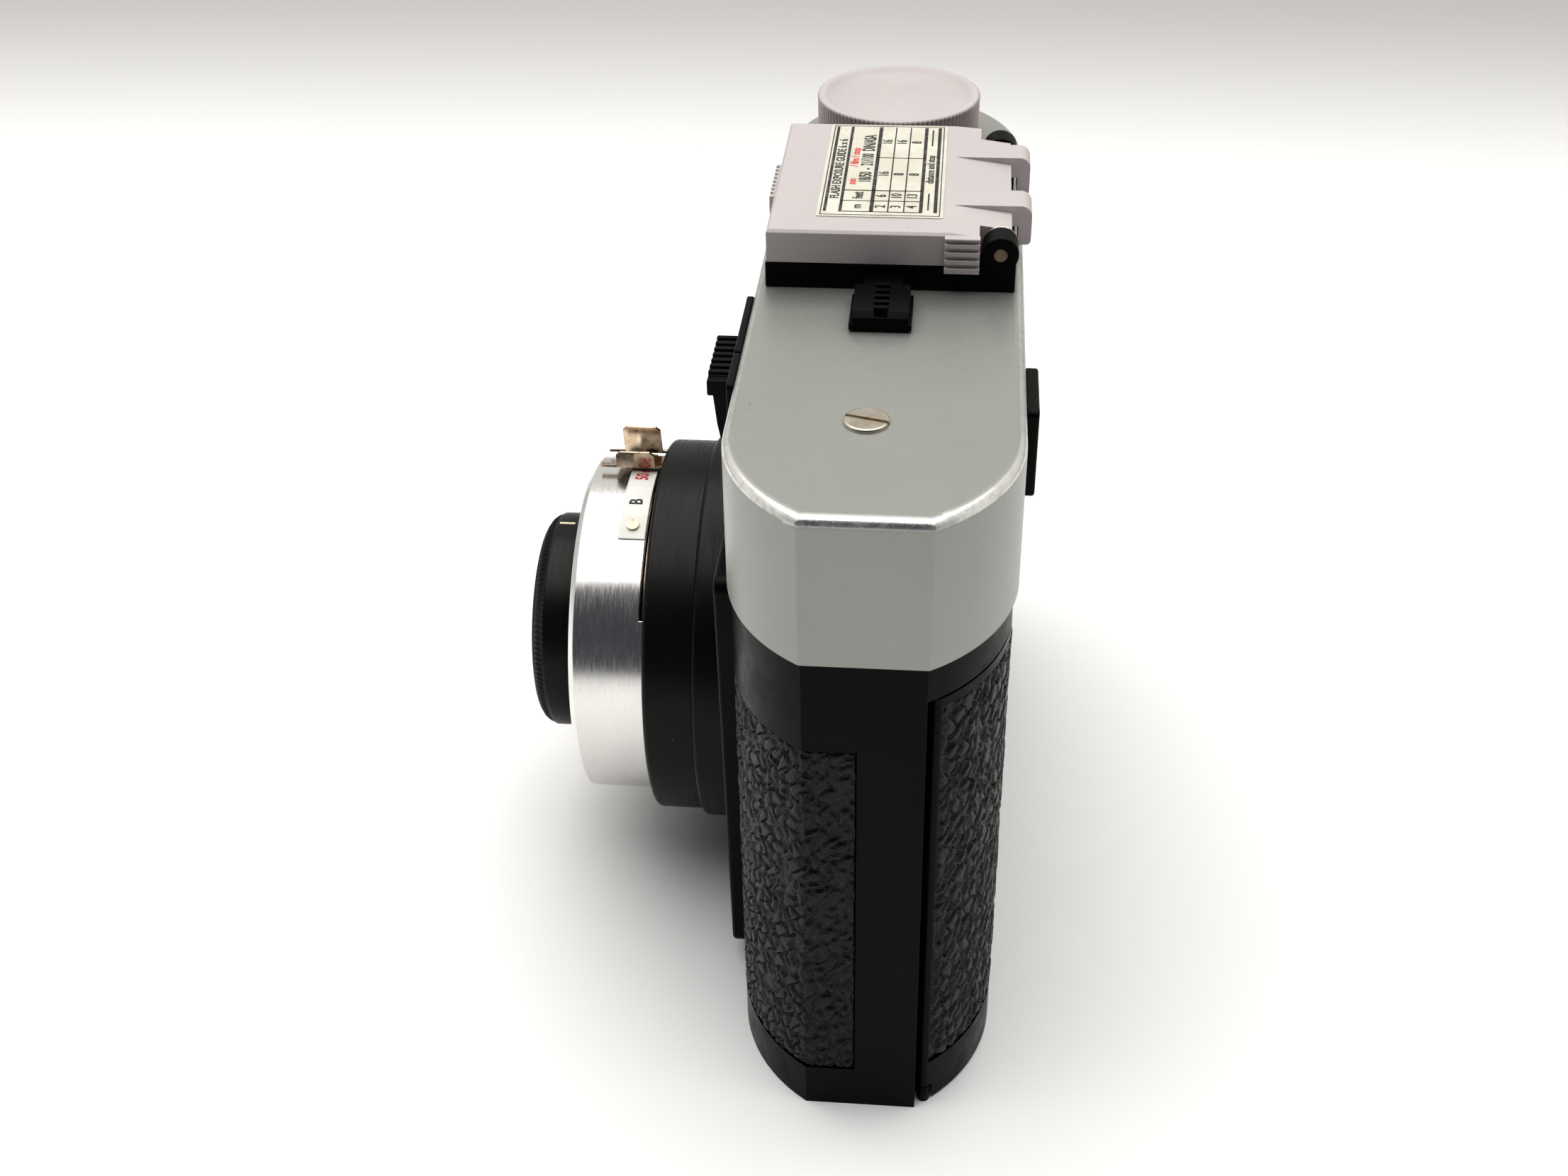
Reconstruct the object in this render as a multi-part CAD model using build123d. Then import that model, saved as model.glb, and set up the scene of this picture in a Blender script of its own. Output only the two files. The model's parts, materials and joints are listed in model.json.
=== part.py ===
from build123d import *
import os
from math import asin, atan2, cos, degrees, radians, sin, sqrt

# A roll-film viewfinder camera with a flip-up flash on its top cover, in millimetres.
# +X is the viewfinder end and -X the winding-knob end. The lens looks along -Y, the back door
# is on the +Y side, and +Z is up. The origin is the mouth of the tripod bush in the base.

# Overall outline: straight front and back, rounded corners, a flat facet at each end.
body_length = 135.0
body_depth = 38.0
body_top = 80.0
cover_top = 101.3
facet_half = 8.0
corner_radius = 25.0
half_length = body_length / 2
half_depth = body_depth / 2
corner_y = half_depth - corner_radius
corner_x = half_length - sqrt(corner_radius**2 - (facet_half - corner_y) ** 2)

# Shells and clearances
cover_wall = 0.8
shell_inset = 0.6
wall = 2.0
inner_inset = shell_inset + wall
gap = 0.3
running = 0.05
floor_top = 2.8
chamber_top = 70.2
door_low = 0.4
door_top = 74.3
seam_y = 7.9
band_top = door_top + gap
deck_low = 72.2
deck_inset = 5.2

# Leatherette panels
skin = 0.5
front_skin_low = 7.3
front_skin_high = 66.0
front_skin_end_y = -0.8
door_skin_low = 8.0
door_skin_high = 72.9

# Film path: chambers, gate, pressure plate
lens_z = 36.6
picture = 56.0
lens_square = 26.0
cone_wall = 1.2
partition_x = 32.8
partition_wall = 1.6
film_y = 13.8
gate_front = 10.2
gate_back = 12.4
rail_radius = 1.4
spool_radius = 12.4
spool_core = 5.5
spool_low = 3.6
spool_high = 69.1
spool_flange = 1.0
pivot_radius = 2.0

# Winding knob
knob_x = -46.7
knob_y = -1.0
knob_radius = 13.1
knob_low = 103.3
knob_high = 110.1
knob_base_top = 102.9
dish_radius = 11.8
dish_depth = 2.4
shaft_radius = 3.0

# Door hinge, at the viewfinder end, and door latch, at the knob end
hinge_pin_radius = 0.45
knuckle_radius = 0.9
hinge_y = seam_y + gap + knuckle_radius
hinge_reach = corner_radius - shell_inset - knuckle_radius
hinge_x = corner_x + sqrt(hinge_reach**2 - (hinge_y - corner_y) ** 2)
latch_z = 41.0

# Red window in the door and its slide
window_radius = 5.5

# Lens mount rings, by radius and the Y of their front faces
plate_front = -21.5
plate_top = 76.0
plate_low = 4.0
plate_half_top = 45.0
plate_half_low = 40.0
lens_opening = 23.0
rear_flange_radius = 31.1
rear_flange_front = -27.8
front_flange_radius = 30.1
front_flange_front = -35.4
barrel_radius = 27.1
barrel_front = -47.2
focus_radius = 17.5
focus_front = -55.1
mouth_back = -53.0
mouth_inner = 11.0
mouth_outer = 15.6
tube_radius = 15.0
tube_bore = 13.55
ring_wall = 1.0

# Setting levers: each is a thin ring round the lens tube with a turned-out tab
lever_thickness = 0.3
speed_ring_back = -35.5
aperture_ring_back = -35.9
lever_half_width = 2.2
speed_tab_angle = -9.5
aperture_tab_angle = -26.0
scale_angle = 26.8
scale_back = -36.4
scale_front = -40.5
slot_angle = 54.0

# Shutter
shutter_plate_back = -30.0
shutter_plate_front = -31.0
shutter_hole = 6.0
blade_reach = 17.0
blade_radius = 8.5
stop_reach = 16.0
stop_swing = 40.0

# Viewfinder and release, on the front and back walls of the cover
finder_x0 = 25.2
finder_x1 = 34.7
housing_x0 = 8.0
housing_low = 80.5
housing_high = 100.4
housing_front = -20.0

# Flash on top of the cover
flash_x0 = -33.05
flash_x1 = 7.3
flash_y0 = -17.5
flash_y1 = 17.6
flash_base_top = 105.0
lid_low = 105.15
lid_top = 110.0
lid_axis_y = 15.4
lid_axis_z = 106.9
ear_radius = 2.55
ear_width = 3.9
ear_front = 13.0
lid_pin_radius = 0.95
finger_spans = ((-8.2, -2.6), (-25.5, -20.3))
finger_back = 19.8
finger_low = 104.1
slope_start = 8.5
slope_drop = 1.1
socket_x = -13.0
socket_y = 4.0
socket_radius = 5.6
socket_bore = 4.4
reflector_centre = (-13.0, -2.5)
reflector_size = (33.0, 24.0)

screw_x = 44.7
screw_y = -1.1
bush_radius = 5.5
thread_radius = 2.55
thread_depth = 5.6


def slab(x0, x1, y0, y1, z0, z1):
    """An axis-aligned block between two corners."""
    centre = Pos((x0 + x1) / 2, (y0 + y1) / 2, (z0 + z1) / 2)
    return centre * Box(x1 - x0, y1 - y0, z1 - z0)


def rod_x(y, z, radius, x0, x1):
    return Pos((x0 + x1) / 2, y, z) * Rot(0, 90, 0) * Cylinder(radius, x1 - x0)


def rod_y(x, z, radius, y0, y1):
    return Pos(x, (y0 + y1) / 2, z) * Rot(90, 0, 0) * Cylinder(radius, y1 - y0)


def rod_z(x, y, radius, z0, z1):
    return Pos(x, y, (z0 + z1) / 2) * Cylinder(radius, z1 - z0)


def lens_rod(radius, front, back):
    """A disc on the lens axis."""
    return rod_y(0, lens_z, radius, front, back)


def plan(inset):
    """The camera's outline seen from above, moved inwards by inset."""
    far_x = half_length - inset
    far_y = half_depth - inset
    radius = corner_radius - inset
    facet_y = corner_y + sqrt(radius**2 - (far_x - corner_x) ** 2)
    middle = (radians(90) + asin((facet_y - corner_y) / radius)) / 2
    mid_x = corner_x + radius * cos(middle)
    mid_y = corner_y + radius * sin(middle)
    edges = []
    for side in (-1, 1):
        edges.append(Line((-corner_x, side * far_y), (corner_x, side * far_y)))
        edges.append(Line((side * far_x, -facet_y), (side * far_x, facet_y)))
        for end in (-1, 1):
            start = (end * corner_x, side * far_y)
            through = (end * mid_x, side * mid_y)
            finish = (end * far_x, side * facet_y)
            edges.append(ThreePointArc(start, through, finish))
    return make_face(edges)


def prism(inset, z0, z1):
    """The camera's outline raised between two heights."""
    return Pos(0, 0, z0) * extrude(plan(inset), z1 - z0)


def soften_prism(solid, inset, corner, rim):
    """Round the four facet corners, then the top rim."""
    uprights = [e for e in solid.edges().filter_by(Axis.Z) if abs(e.center().X) > half_length - inset - 0.1]
    solid = fillet(uprights, corner)
    return fillet(solid.edges().group_by(Axis.Z)[-1], rim)


# ---------------------------------------------------------------- body and film path

def front_skin_band():
    """The strip that the front leatherette covers, from the front plate round to the end facets."""
    band = prism(shell_inset, front_skin_low, front_skin_high)
    band -= prism(shell_inset + skin, 0, body_top)
    band &= slab(-half_length, half_length, -half_depth, front_skin_end_y, 0, body_top)
    return band - slab(-39, 39, -half_depth, 0, 0, body_top)


def front_leatherette():
    """The leatherette on each side of the lens."""
    return Compound(list(front_skin_band().solids()))


def latch_pocket():
    """The recess and slot for the door latch in the knob-end facet."""
    facet = -(half_length - shell_inset)
    recess = slab(facet - 1, facet + 0.9, 0.9, 7.3, latch_z - 6, latch_z + 13)
    slot = slab(facet - 1, facet + wall + 1, 4.4, 6.8, latch_z - 0.4, latch_z + 6)
    return recess + slot


def body_shell():
    shell = prism(shell_inset, 0, body_top)
    shell -= prism(inner_inset, floor_top, chamber_top)
    shell -= prism(inner_inset, band_top, body_top + 1)
    shell -= prism(deck_inset, deck_low, band_top + 1)
    behind = slab(-half_length, half_length, seam_y, half_depth, -1, band_top)
    shell -= behind - prism(inner_inset + gap, -1, body_top)
    for side in (-1, 1):
        x = side * partition_x
        shell += slab(x - partition_wall / 2, x + partition_wall / 2, -half_depth + wall, gate_front,
                      floor_top - 0.5, chamber_top + 0.5)
    shell += rod_z(hinge_x, hinge_y, knuckle_radius, 0, floor_top)
    shell += slab(hinge_x - 3, hinge_x, hinge_y - knuckle_radius, hinge_y + knuckle_radius, 0, floor_top)
    shell += rod_z(screw_x, screw_y, 3.5, deck_low - 0.5, cover_top - cover_wall)
    shell -= rod_z(screw_x, screw_y, 1.25, 86, cover_top)
    shell -= rod_z(hinge_x, hinge_y, hinge_pin_radius, 1, 78)
    shell -= rod_z(knob_x, knob_y, shaft_radius + running, chamber_top - 1, deck_low + 1)
    shell -= rod_z(0, 0, bush_radius, -1, floor_top + 1)
    shell -= lens_rod(lens_opening, -half_depth - 1, -half_depth + wall + 1)
    shell -= front_skin_band()
    return shell - latch_pocket()


def funnel(extra, y0, y1):
    """A solid that widens from the lens opening at y0 to the picture gate at y1."""
    near = lens_square + extra
    far = picture + extra
    at_front = Plane(origin=(0, y0, lens_z), z_dir=(0, 1, 0)) * Rectangle(near, near)
    at_gate = Plane(origin=(0, y1, lens_z), z_dir=(0, 1, 0)) * Rectangle(far, far)
    return loft([at_front, at_gate])


def light_cone():
    """A black funnel from the lens opening to the picture gate."""
    front = -half_depth + inner_inset
    edge = partition_x - partition_wall / 2 - 0.4
    cone = funnel(2 * cone_wall, front, gate_back)
    cone += slab(-edge, edge, gate_front + 0.6, gate_back, floor_top, chamber_top)
    return cone - funnel(0, front - 0.01, gate_back + 0.01)


def film_rails():
    """Two polished bars that lead the film round the ends of the partitions."""
    y = film_y - rail_radius
    rails = [rod_z(side * (partition_x + 0.4), y, rail_radius, floor_top, chamber_top) for side in (-1, 1)]
    return Compound(rails)


def spool_pivots():
    """Pivots for the spools: a post under the take-up spool and two low studs for the full one."""
    post = rod_z(knob_x, knob_y, pivot_radius, floor_top, 7)
    studs = [rod_z(-knob_x, knob_y, pivot_radius, floor_top, floor_top + 0.8),
             rod_z(-knob_x, knob_y, pivot_radius, chamber_top - 0.8, chamber_top)]
    return Compound([post] + studs)


def leaf(x0, x1, y_ends, y_middle, thickness, z0, z1):
    """A bowed strip of spring steel, standing on edge."""
    middle = (x0 + x1) / 2
    outer = ThreePointArc((x0, y_ends), (middle, y_middle), (x1, y_ends))
    inner = ThreePointArc((x0, y_ends - thickness), (middle, y_middle - thickness), (x1, y_ends - thickness))
    ends = [Line((x, y_ends - thickness), (x, y_ends)) for x in (x0, x1)]
    return Pos(0, 0, z0) * extrude(make_face([outer, inner] + ends), z1 - z0)


def film_brake():
    """A spring leaf on the front wall of the supply chamber that keeps the film tight."""
    front = -half_depth + inner_inset
    return leaf(35, 46, front + 0.3, front + 1.6, 0.3, 28, 45)


def tripod_bush():
    bush = rod_z(0, 0, bush_radius, 0, thread_depth + 0.8)
    return bush - rod_z(0, 0, thread_radius, -1, thread_depth)


# ---------------------------------------------------------------- back door

def door_hinge_pin():
    return rod_z(hinge_x, hinge_y, hinge_pin_radius, 1, 78)


def door_skin_band():
    band = prism(shell_inset, door_skin_low, door_skin_high)
    band -= prism(shell_inset + skin, 0, body_top)
    band &= slab(-half_length, half_length, hinge_y + 0.6, half_depth, 0, body_top)
    return band - slab(-10.5, 22.5, 0, half_depth, 27.6, 45.6)


def door_leatherette():
    return Compound(list(door_skin_band().solids()))


def back_door():
    door = prism(shell_inset, door_low, door_top) - prism(inner_inset, -1, body_top)
    door &= slab(-half_length, half_length, seam_y + gap, half_depth, 0, body_top)
    door -= slab(0, hinge_x, 0, hinge_y, 0, body_top)
    door -= slab(hinge_x, half_length, 0, hinge_y + knuckle_radius / 2, 0, body_top)
    door += rod_z(hinge_x, hinge_y, knuckle_radius, door_low, door_top)
    door -= slab(hinge_x - 5, half_length, 0, hinge_y + knuckle_radius + gap, 0, floor_top + gap)
    door -= rod_z(hinge_x, hinge_y, hinge_pin_radius + running, 0, body_top)
    tongue = slab(-63.9, -62.4, 3.0, 10.6, latch_z - 5, latch_z + 3)
    tongue -= slab(-64, -62, 4.5, 6.7, latch_z, latch_z + 3.1)
    door += tongue
    door -= rod_y(0, lens_z, window_radius, 16, 19)
    door -= slab(-7.3, 19.9, 17.4, 19, 29.7, 43.5)
    door -= slab(-10.5, 22.5, 18.1, 19, 27.6, 45.6)
    return door - door_skin_band()


def pressure_plate():
    plate = slab(-31, 31, film_y + 0.1, film_y + 0.8, 5, 68)
    return plate - rod_y(0, lens_z, window_radius - 0.3, film_y - 1, film_y + 2)


def pressure_springs():
    inside = half_depth - inner_inset
    plate_back = film_y + 0.8
    strips = [leaf(-24, 24, plate_back + 0.3, inside, 0.3, z, z + 7) for z in (15, 51)]
    return Compound(strips)


def red_window():
    return rod_y(0, lens_z, window_radius, 16.4, 17.4)


def window_frame():
    frame = slab(-10.5, 22.5, 18.1, 18.7, 27.6, 45.6)
    return frame - slab(-6.4, 19.0, 18, 19, 31.4, 41.8)


def window_slide():
    slide = slab(-7, 7, 17.5, 17.95, 30, 43.2)
    grip = slab(1.5, 5.5, 17.9, 19.1, 33, 40.2)
    for x in (2.1, 3.1, 4.1):
        grip -= slab(x, x + 0.5, 18.7, 19.2, 32, 41)
    return slide + grip


def door_latch():
    """A thumb slide in the knob-end facet with a hook that drops in the door's tongue."""
    facet = -(half_length - shell_inset)
    slide = slab(facet + 0.1, facet + 0.7, 1.3, 7.0, latch_z - 5, latch_z + 8.5)
    slide += slab(facet - 0.5, facet + 0.2, 1.8, 6.5, latch_z - 4, latch_z + 3)
    for step in range(4):
        z = latch_z - 3.2 + 1.6 * step
        slide -= slab(facet - 0.6, facet - 0.1, 1, 7, z, z + 0.8)
    return slide + slab(facet + 0.6, -62.2, 4.8, 6.4, latch_z + 0.4, latch_z + 2.2)


# ---------------------------------------------------------------- winding

def wind_knob():
    knob = rod_z(knob_x, knob_y, knob_radius, knob_low, knob_high)
    ball = (dish_radius**2 + dish_depth**2) / (2 * dish_depth)
    rim = knob.edges().group_by(Axis.Z)[-1]
    knob = fillet(rim, 0.5)
    knob -= Pos(knob_x, knob_y, knob_high - dish_depth + ball) * Sphere(ball)
    return knob - rod_z(knob_x, knob_y, shaft_radius, knob_low - 1, knob_high - dish_depth - 1.4)


def knob_base():
    base = rod_z(knob_x, knob_y, knob_radius + 0.4, cover_top, knob_base_top)
    return base - rod_z(knob_x, knob_y, shaft_radius + 0.3, cover_top - 1, knob_base_top + 1)


def wind_shaft():
    """The spindle from the knob to the take-up spool, ending in a flat key."""
    shaft = rod_z(knob_x, knob_y, shaft_radius, chamber_top - 0.6, knob_high - dish_depth - 1.4)
    return shaft + slab(knob_x - 3.4, knob_x + 3.4, knob_y - 0.6, knob_y + 0.6, 65.6, chamber_top)


def takeup_spool():
    spool = rod_z(knob_x, knob_y, spool_core, spool_low, spool_high)
    spool += rod_z(knob_x, knob_y, spool_radius, spool_low, spool_low + spool_flange)
    spool += rod_z(knob_x, knob_y, spool_radius, spool_high - spool_flange, spool_high)
    spool -= rod_z(knob_x, knob_y, pivot_radius + running, 0, 9)
    spool -= slab(knob_x - 3.8, knob_x + 3.8, knob_y - 0.8, knob_y + 0.8, 64.8, 70)
    return spool - slab(knob_x - 1, knob_x + 1, knob_y - 9, knob_y + 9, 12, 60)


def ratchet_wheel():
    teeth = 24
    root, tip = 8.0, 9.0
    points = []
    for tooth in range(teeth):
        start = radians(360 / teeth * tooth)
        step = radians(360 / teeth * (tooth + 0.92))
        points.append((knob_x + root * cos(start), knob_y + root * sin(start)))
        points.append((knob_x + tip * cos(step), knob_y + tip * sin(step)))
    wheel = Pos(0, 0, 75.0) * extrude(make_face(Polyline(*points, close=True)), 2.2)
    return wheel - rod_z(knob_x, knob_y, shaft_radius, 70, 80)


def click_spring():
    """A flat spring that rides on the ratchet wheel and stops the knob turning back."""
    x = knob_x + 9.3
    post = rod_z(x + 1.3, 9, 1.3, deck_low, 78)
    return post + slab(x, x + 0.3, -1, 9, 74.8, 77.4)


# ---------------------------------------------------------------- lens and shutter

def front_plate():
    """The smooth black plate behind the lens mount, a little wider at the top."""
    corners = [(-plate_half_top, plate_top), (plate_half_top, plate_top),
               (plate_half_low, plate_low), (-plate_half_low, plate_low)]
    outline = Plane(origin=(0, -half_depth + shell_inset, 0), x_dir=(1, 0, 0), z_dir=(0, -1, 0))
    depth = -plate_front - half_depth + shell_inset
    plate = extrude(outline * make_face(Polyline(*corners, close=True)), depth)
    plate = fillet(plate.edges().filter_by(Axis.Y), 2.0)
    plate = fillet(plate.edges().group_by(Axis.Y)[0], 0.6)
    plate -= lens_rod(lens_opening, -30, 0)
    return plate - slab(11.7, 18.3, -21.0 - gap, -19.0, 50, plate_top + 1)


def cup(radius, front, back, bore):
    """A ring with a thin side wall and a front web, open at the back."""
    ring = lens_rod(radius, front, back)
    ring = fillet(ring.edges().group_by(Axis.Y)[0], 0.8)
    ring -= lens_rod(radius - 2.5, front + ring_wall, back + 1)
    return ring - lens_rod(bore, front - 1, back + 1)


def rear_flange():
    return cup(rear_flange_radius, rear_flange_front, plate_front, 25.0)


def front_flange():
    return cup(front_flange_radius, front_flange_front, rear_flange_front, 10.0)


def sector(angle_from, angle_to, radius, front, back):
    """A wedge about the lens axis; angles are from +Z towards +X."""
    reach = 2 * radius
    rim = [(reach * sin(radians(a)), lens_z + reach * cos(radians(a))) for a in (angle_from, angle_to)]
    outline = Plane(origin=(0, back, 0), x_dir=(1, 0, 0), z_dir=(0, -1, 0))
    return extrude(outline * make_face(Polyline((0, lens_z), *rim, close=True)), back - front)


def barrel_ring():
    ring = lens_rod(barrel_radius, barrel_front, front_flange_front)
    ring = chamfer(ring.edges().group_by(Axis.Y)[0], 0.9)
    ring -= lens_rod(barrel_radius - ring_wall, barrel_front + ring_wall, front_flange_front + 1)
    ring -= lens_rod(tube_radius, barrel_front - 1, 0)
    slot = lens_rod(barrel_radius + 1, scale_back + 0.1, front_flange_front)
    return ring - (slot & sector(-slot_angle, slot_angle, barrel_radius, -38, -35))


def lens_tube():
    tube = lens_rod(tube_radius, barrel_front, front_flange_front)
    tube -= lens_rod(tube_bore, barrel_front - 1, front_flange_front - ring_wall)
    return tube - lens_rod(8.0, -40, -30)


def scale_strip():
    strip = lens_rod(barrel_radius + 0.3, scale_front, scale_back) - lens_rod(barrel_radius, -60, 0)
    return strip & sector(-scale_angle, scale_angle, barrel_radius, -41, -36)


def scale_rivets():
    middle = (scale_front + scale_back) / 2
    rivets = []
    for angle in (-21.8, 21.8):
        head = Pos(0, 0, barrel_radius + 0.475) * Cylinder(0.95, 0.35)
        rivets.append(Pos(0, middle, lens_z) * Rot(0, angle, 0) * head)
    return Compound(rivets)


def setting_lever(angle, back, lean, length):
    """A thin ring on the lens tube, an arm out through the slot, and a bent-up finger tab."""
    front = back - lever_thickness
    low = barrel_radius + 0.9
    edge = lever_half_width
    ring = lens_rod(25.7, front, back) - lens_rod(tube_radius + running, -60, 0)
    arm = slab(-edge, edge, front, back, 24, low + 0.4)
    foot = slab(-edge, edge, -43.0, back, low, low + 0.4)
    pointer = slab(edge - 1.2, edge, -45.4, -42.9, low, low + 0.4)
    plate = slab(-0.4, 0, -42.8, -36.7, 0, length)
    corners = plate.edges().filter_by(Axis.X).group_by(Axis.Z)[-1]
    plate = chamfer(corners, 0.7)
    tab = Pos(edge, 0, low) * Rot(0, lean, 0) * plate
    return ring + Pos(0, 0, lens_z) * Rot(0, angle, 0) * (arm + foot + pointer + tab)


def speed_lever():
    return setting_lever(speed_tab_angle, speed_ring_back, 20, 3.2)


def aperture_lever():
    return setting_lever(aperture_tab_angle, aperture_ring_back, 40, 5.6)


def shutter_plate():
    plate = lens_rod(front_flange_radius - 2.5, shutter_plate_front, shutter_plate_back)
    plate -= lens_rod(shutter_hole, -40, 0)
    for x, z in ((0, lens_z - blade_reach), (-stop_reach, lens_z)):
        plate -= rod_y(x, z, 1.0, -40, 0)
    return plate


def shutter_posts():
    """The pivots of the shutter blade, behind the plate, and of the stop disc, in front of it."""
    blade_post = rod_y(0, lens_z - blade_reach, 1.0, shutter_plate_front, -28.6)
    stop_post = rod_y(-stop_reach, lens_z, 1.0, -32.8, shutter_plate_back)
    return Compound([blade_post, stop_post])


def shutter_blade():
    front, back = -29.7, -29.4
    pivot_z = lens_z - blade_reach
    blade = lens_rod(blade_radius, front, back)
    blade += slab(-3, 3, front, back, pivot_z, lens_z)
    blade += rod_y(0, pivot_z, 3.0, front, back)
    return blade - rod_y(0, pivot_z, 1.0 + running, -40, 0)


def aperture_disc():
    """A swinging stop with a large and a small hole at one distance from its pivot."""
    front, back = -31.8, -31.4
    swing = radians(stop_swing)
    small = (-stop_reach + stop_reach * cos(swing), lens_z + stop_reach * sin(swing))
    disc = rod_y(-stop_reach, lens_z, 3.0, front, back)
    for x, z in ((0, lens_z), small):
        disc += rod_y(x, z, 6.0, front, back)
        length = stop_reach
        bar = slab(0, length, front, back, -2.5, 2.5)
        turn = degrees(atan2(z - lens_z, x + stop_reach))
        disc += Pos(-stop_reach, 0, lens_z) * Rot(0, -turn, 0) * bar
    disc -= rod_y(0, lens_z, 4.0, -40, 0)
    disc -= rod_y(small[0], small[1], 2.0, -40, 0)
    return disc - rod_y(-stop_reach, lens_z, 1.0 + running, -40, 0)


def focus_ring():
    ring = lens_rod(focus_radius, focus_front, barrel_front - gap)
    ring = fillet(ring.edges().group_by(Axis.Y)[0], 0.9)
    ring += lens_rod(tube_bore - running, barrel_front - gap - 0.1, -41)
    ring -= lens_rod(mouth_inner, -54, -40)
    mouth_depth = mouth_back - focus_front + 0.2
    mouth = Rot(90, 0, 0) * Cone(mouth_inner, mouth_outer, mouth_depth)
    return ring - Pos(0, mouth_back - mouth_depth / 2, lens_z) * mouth


def glass(radius, front, back, bulge_front, bulge_back):
    """A round lens: a flat disc whose two faces are spherical."""
    centre = (front + back) / 2
    disc = lens_rod(radius, front, back)
    for face, bulge, side in ((front, bulge_front, -1), (back, bulge_back, 1)):
        ball = (radius**2 + bulge**2) / (2 * bulge)
        middle = face - side * ball
        disc &= Pos(0, middle, lens_z) * Sphere(ball)
    return disc


def front_lens():
    return glass(11.0, -53.2, -48.6, 1.6, 0.6)


def rear_lens():
    return glass(8.0, -38.2, -34.6, 0.8, 0.9)


def lens_retainer():
    return lens_rod(11.0, -53.0, -52.2) - lens_rod(9.6, -60, 0)


# ---------------------------------------------------------------- top cover, finder, release

def top_cover():
    cover = soften_prism(prism(0, body_top, cover_top), 0, 0.9, 1.5)
    cover -= prism(cover_wall, body_top - 1, cover_top - cover_wall)
    cover -= rod_z(knob_x, knob_y, shaft_radius + 0.4, 90, 110)
    cover -= rod_z(screw_x, screw_y, 1.65, 90, 110)
    cover -= rod_z(socket_x, socket_y, socket_radius + 0.1, 90, 110)
    cover -= slab(26.6, 33.6, -20, -17, 86.5, 97.5)
    return cover - slab(28.2, 34.4, 17, 20, 90, 96.2)


def cover_screw():
    head = rod_z(screw_x, screw_y, 2.95, cover_top, cover_top + 0.5)
    head = fillet(head.edges().group_by(Axis.Z)[-1], 0.3)
    slot = Pos(screw_x, screw_y, cover_top + 0.5) * Rot(0, 0, 74) * Box(8, 0.6, 0.8)
    return head - slot + rod_z(screw_x, screw_y, 1.25, 88, cover_top)


def finder_front_frame():
    frame = slab(finder_x0, finder_x1, housing_front, -half_depth, housing_low, housing_high)
    frame = fillet(frame.edges().filter_by(Axis.Y), 0.8)
    return frame - slab(26.6, 33.6, -21, -18, 86.5, 97.5)


def finder_window():
    return slab(26.6, 33.6, housing_front + 0.5, -half_depth + cover_wall, 86.5, 97.5)


def finder_tube():
    depth = half_depth - cover_wall
    tube = slab(25.6, 35.4, -depth, depth, 85.5, 98.5)
    return tube - slab(26.6, 34.4, -depth - 1, depth + 1, 86.5, 97.5)


def finder_lens():
    return slab(28.2, 34.4, half_depth - cover_wall, half_depth + 0.4, 90, 96.2)


def eyepiece_frame():
    frame = slab(25.0, 37.6, half_depth, 20.7, 86.4, 99.4)
    frame = fillet(frame.edges().filter_by(Axis.Y), 1.0)
    frame = fillet(frame.edges().group_by(Axis.Y)[-1], 0.4)
    return frame - slab(28.2, 34.4, half_depth - 1, 22, 90, 96.2)


def release_guide():
    guide = slab(housing_x0, finder_x0 - 0.2, housing_front, -half_depth, housing_low, housing_high)
    return fillet(guide.edges().filter_by(Axis.Y), 0.8)


def release_lever():
    """A ribbed thumb pad, a tapering stem and a flat rod that runs down to the shutter."""
    back = housing_front - gap
    pad = slab(8.3, 22.0, -24.4, back, 91.6, 93.9)
    for step in range(7):
        x = 9.0 + 1.7 * step
        pad += slab(x, x + 0.9, -24.4, back, 93.8, 94.4)
    corners = ((back, 92), (-24.0, 92), (-23.4, 86), (-22.4, housing_low), (back, housing_low))
    profile = Polyline(*corners, close=True)
    side = Plane(origin=(9.8, 0, 0), x_dir=(0, 1, 0), z_dir=(1, 0, 0))
    stem = extrude(side * make_face(profile), 10.4)
    return pad + stem + slab(12, 18, -21.0, -19.6, 60, housing_low) + slab(12, 18, -21.0, back, 60, 82)


# ---------------------------------------------------------------- flash

def lid_arc(radius, x0, x1):
    return rod_x(lid_axis_y, lid_axis_z, radius, x0, x1)


def flash_base():
    base = slab(flash_x0, flash_x1, flash_y0, flash_y1, cover_top, flash_base_top)
    base -= slab(flash_x0 + 2, flash_x1 - 2, flash_y0 + 2, 10.5, cover_top + 1.2, flash_base_top + 1)
    for x in (flash_x0, flash_x1 - ear_width):
        base += slab(x, x + ear_width, ear_front, flash_y1, flash_base_top - 0.1, lid_axis_z)
        base += lid_arc(ear_radius, x, x + ear_width)
    for x0, x1 in finger_spans:
        base -= slab(x0 - gap, x1 + gap, lid_axis_y - 5.6, flash_y1 + 1, cover_top - 1, flash_base_top + 1)
    base -= lid_arc(lid_pin_radius, flash_x0 - 1, flash_x1 + 1)
    base -= rod_z(socket_x, socket_y, socket_radius, cover_top - 1, cover_top + 2)
    return base - slab(3, 9, -2.9, 1.9, cover_top + 1.2, 104.2)


def lid_finger(x0, x1):
    """A hook that runs level over the lid's back edge and down behind it."""
    finger = slab(x0, x1, lid_axis_y - 2, finger_back, finger_low, lid_top)
    outer = finger.edges().filter_by(Axis.X).group_by(Axis.Y)[-1]
    finger = fillet(outer.sort_by(Axis.Z)[-1], 1.6)
    finger = fillet(finger.edges().filter_by(Axis.X).sort_by(Axis.Z)[:2], 0.7)
    return finger - slab(x0 - 1, x1 + 1, 0, finger_back - 1.9, finger_low - 1, lid_axis_z)


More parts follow.
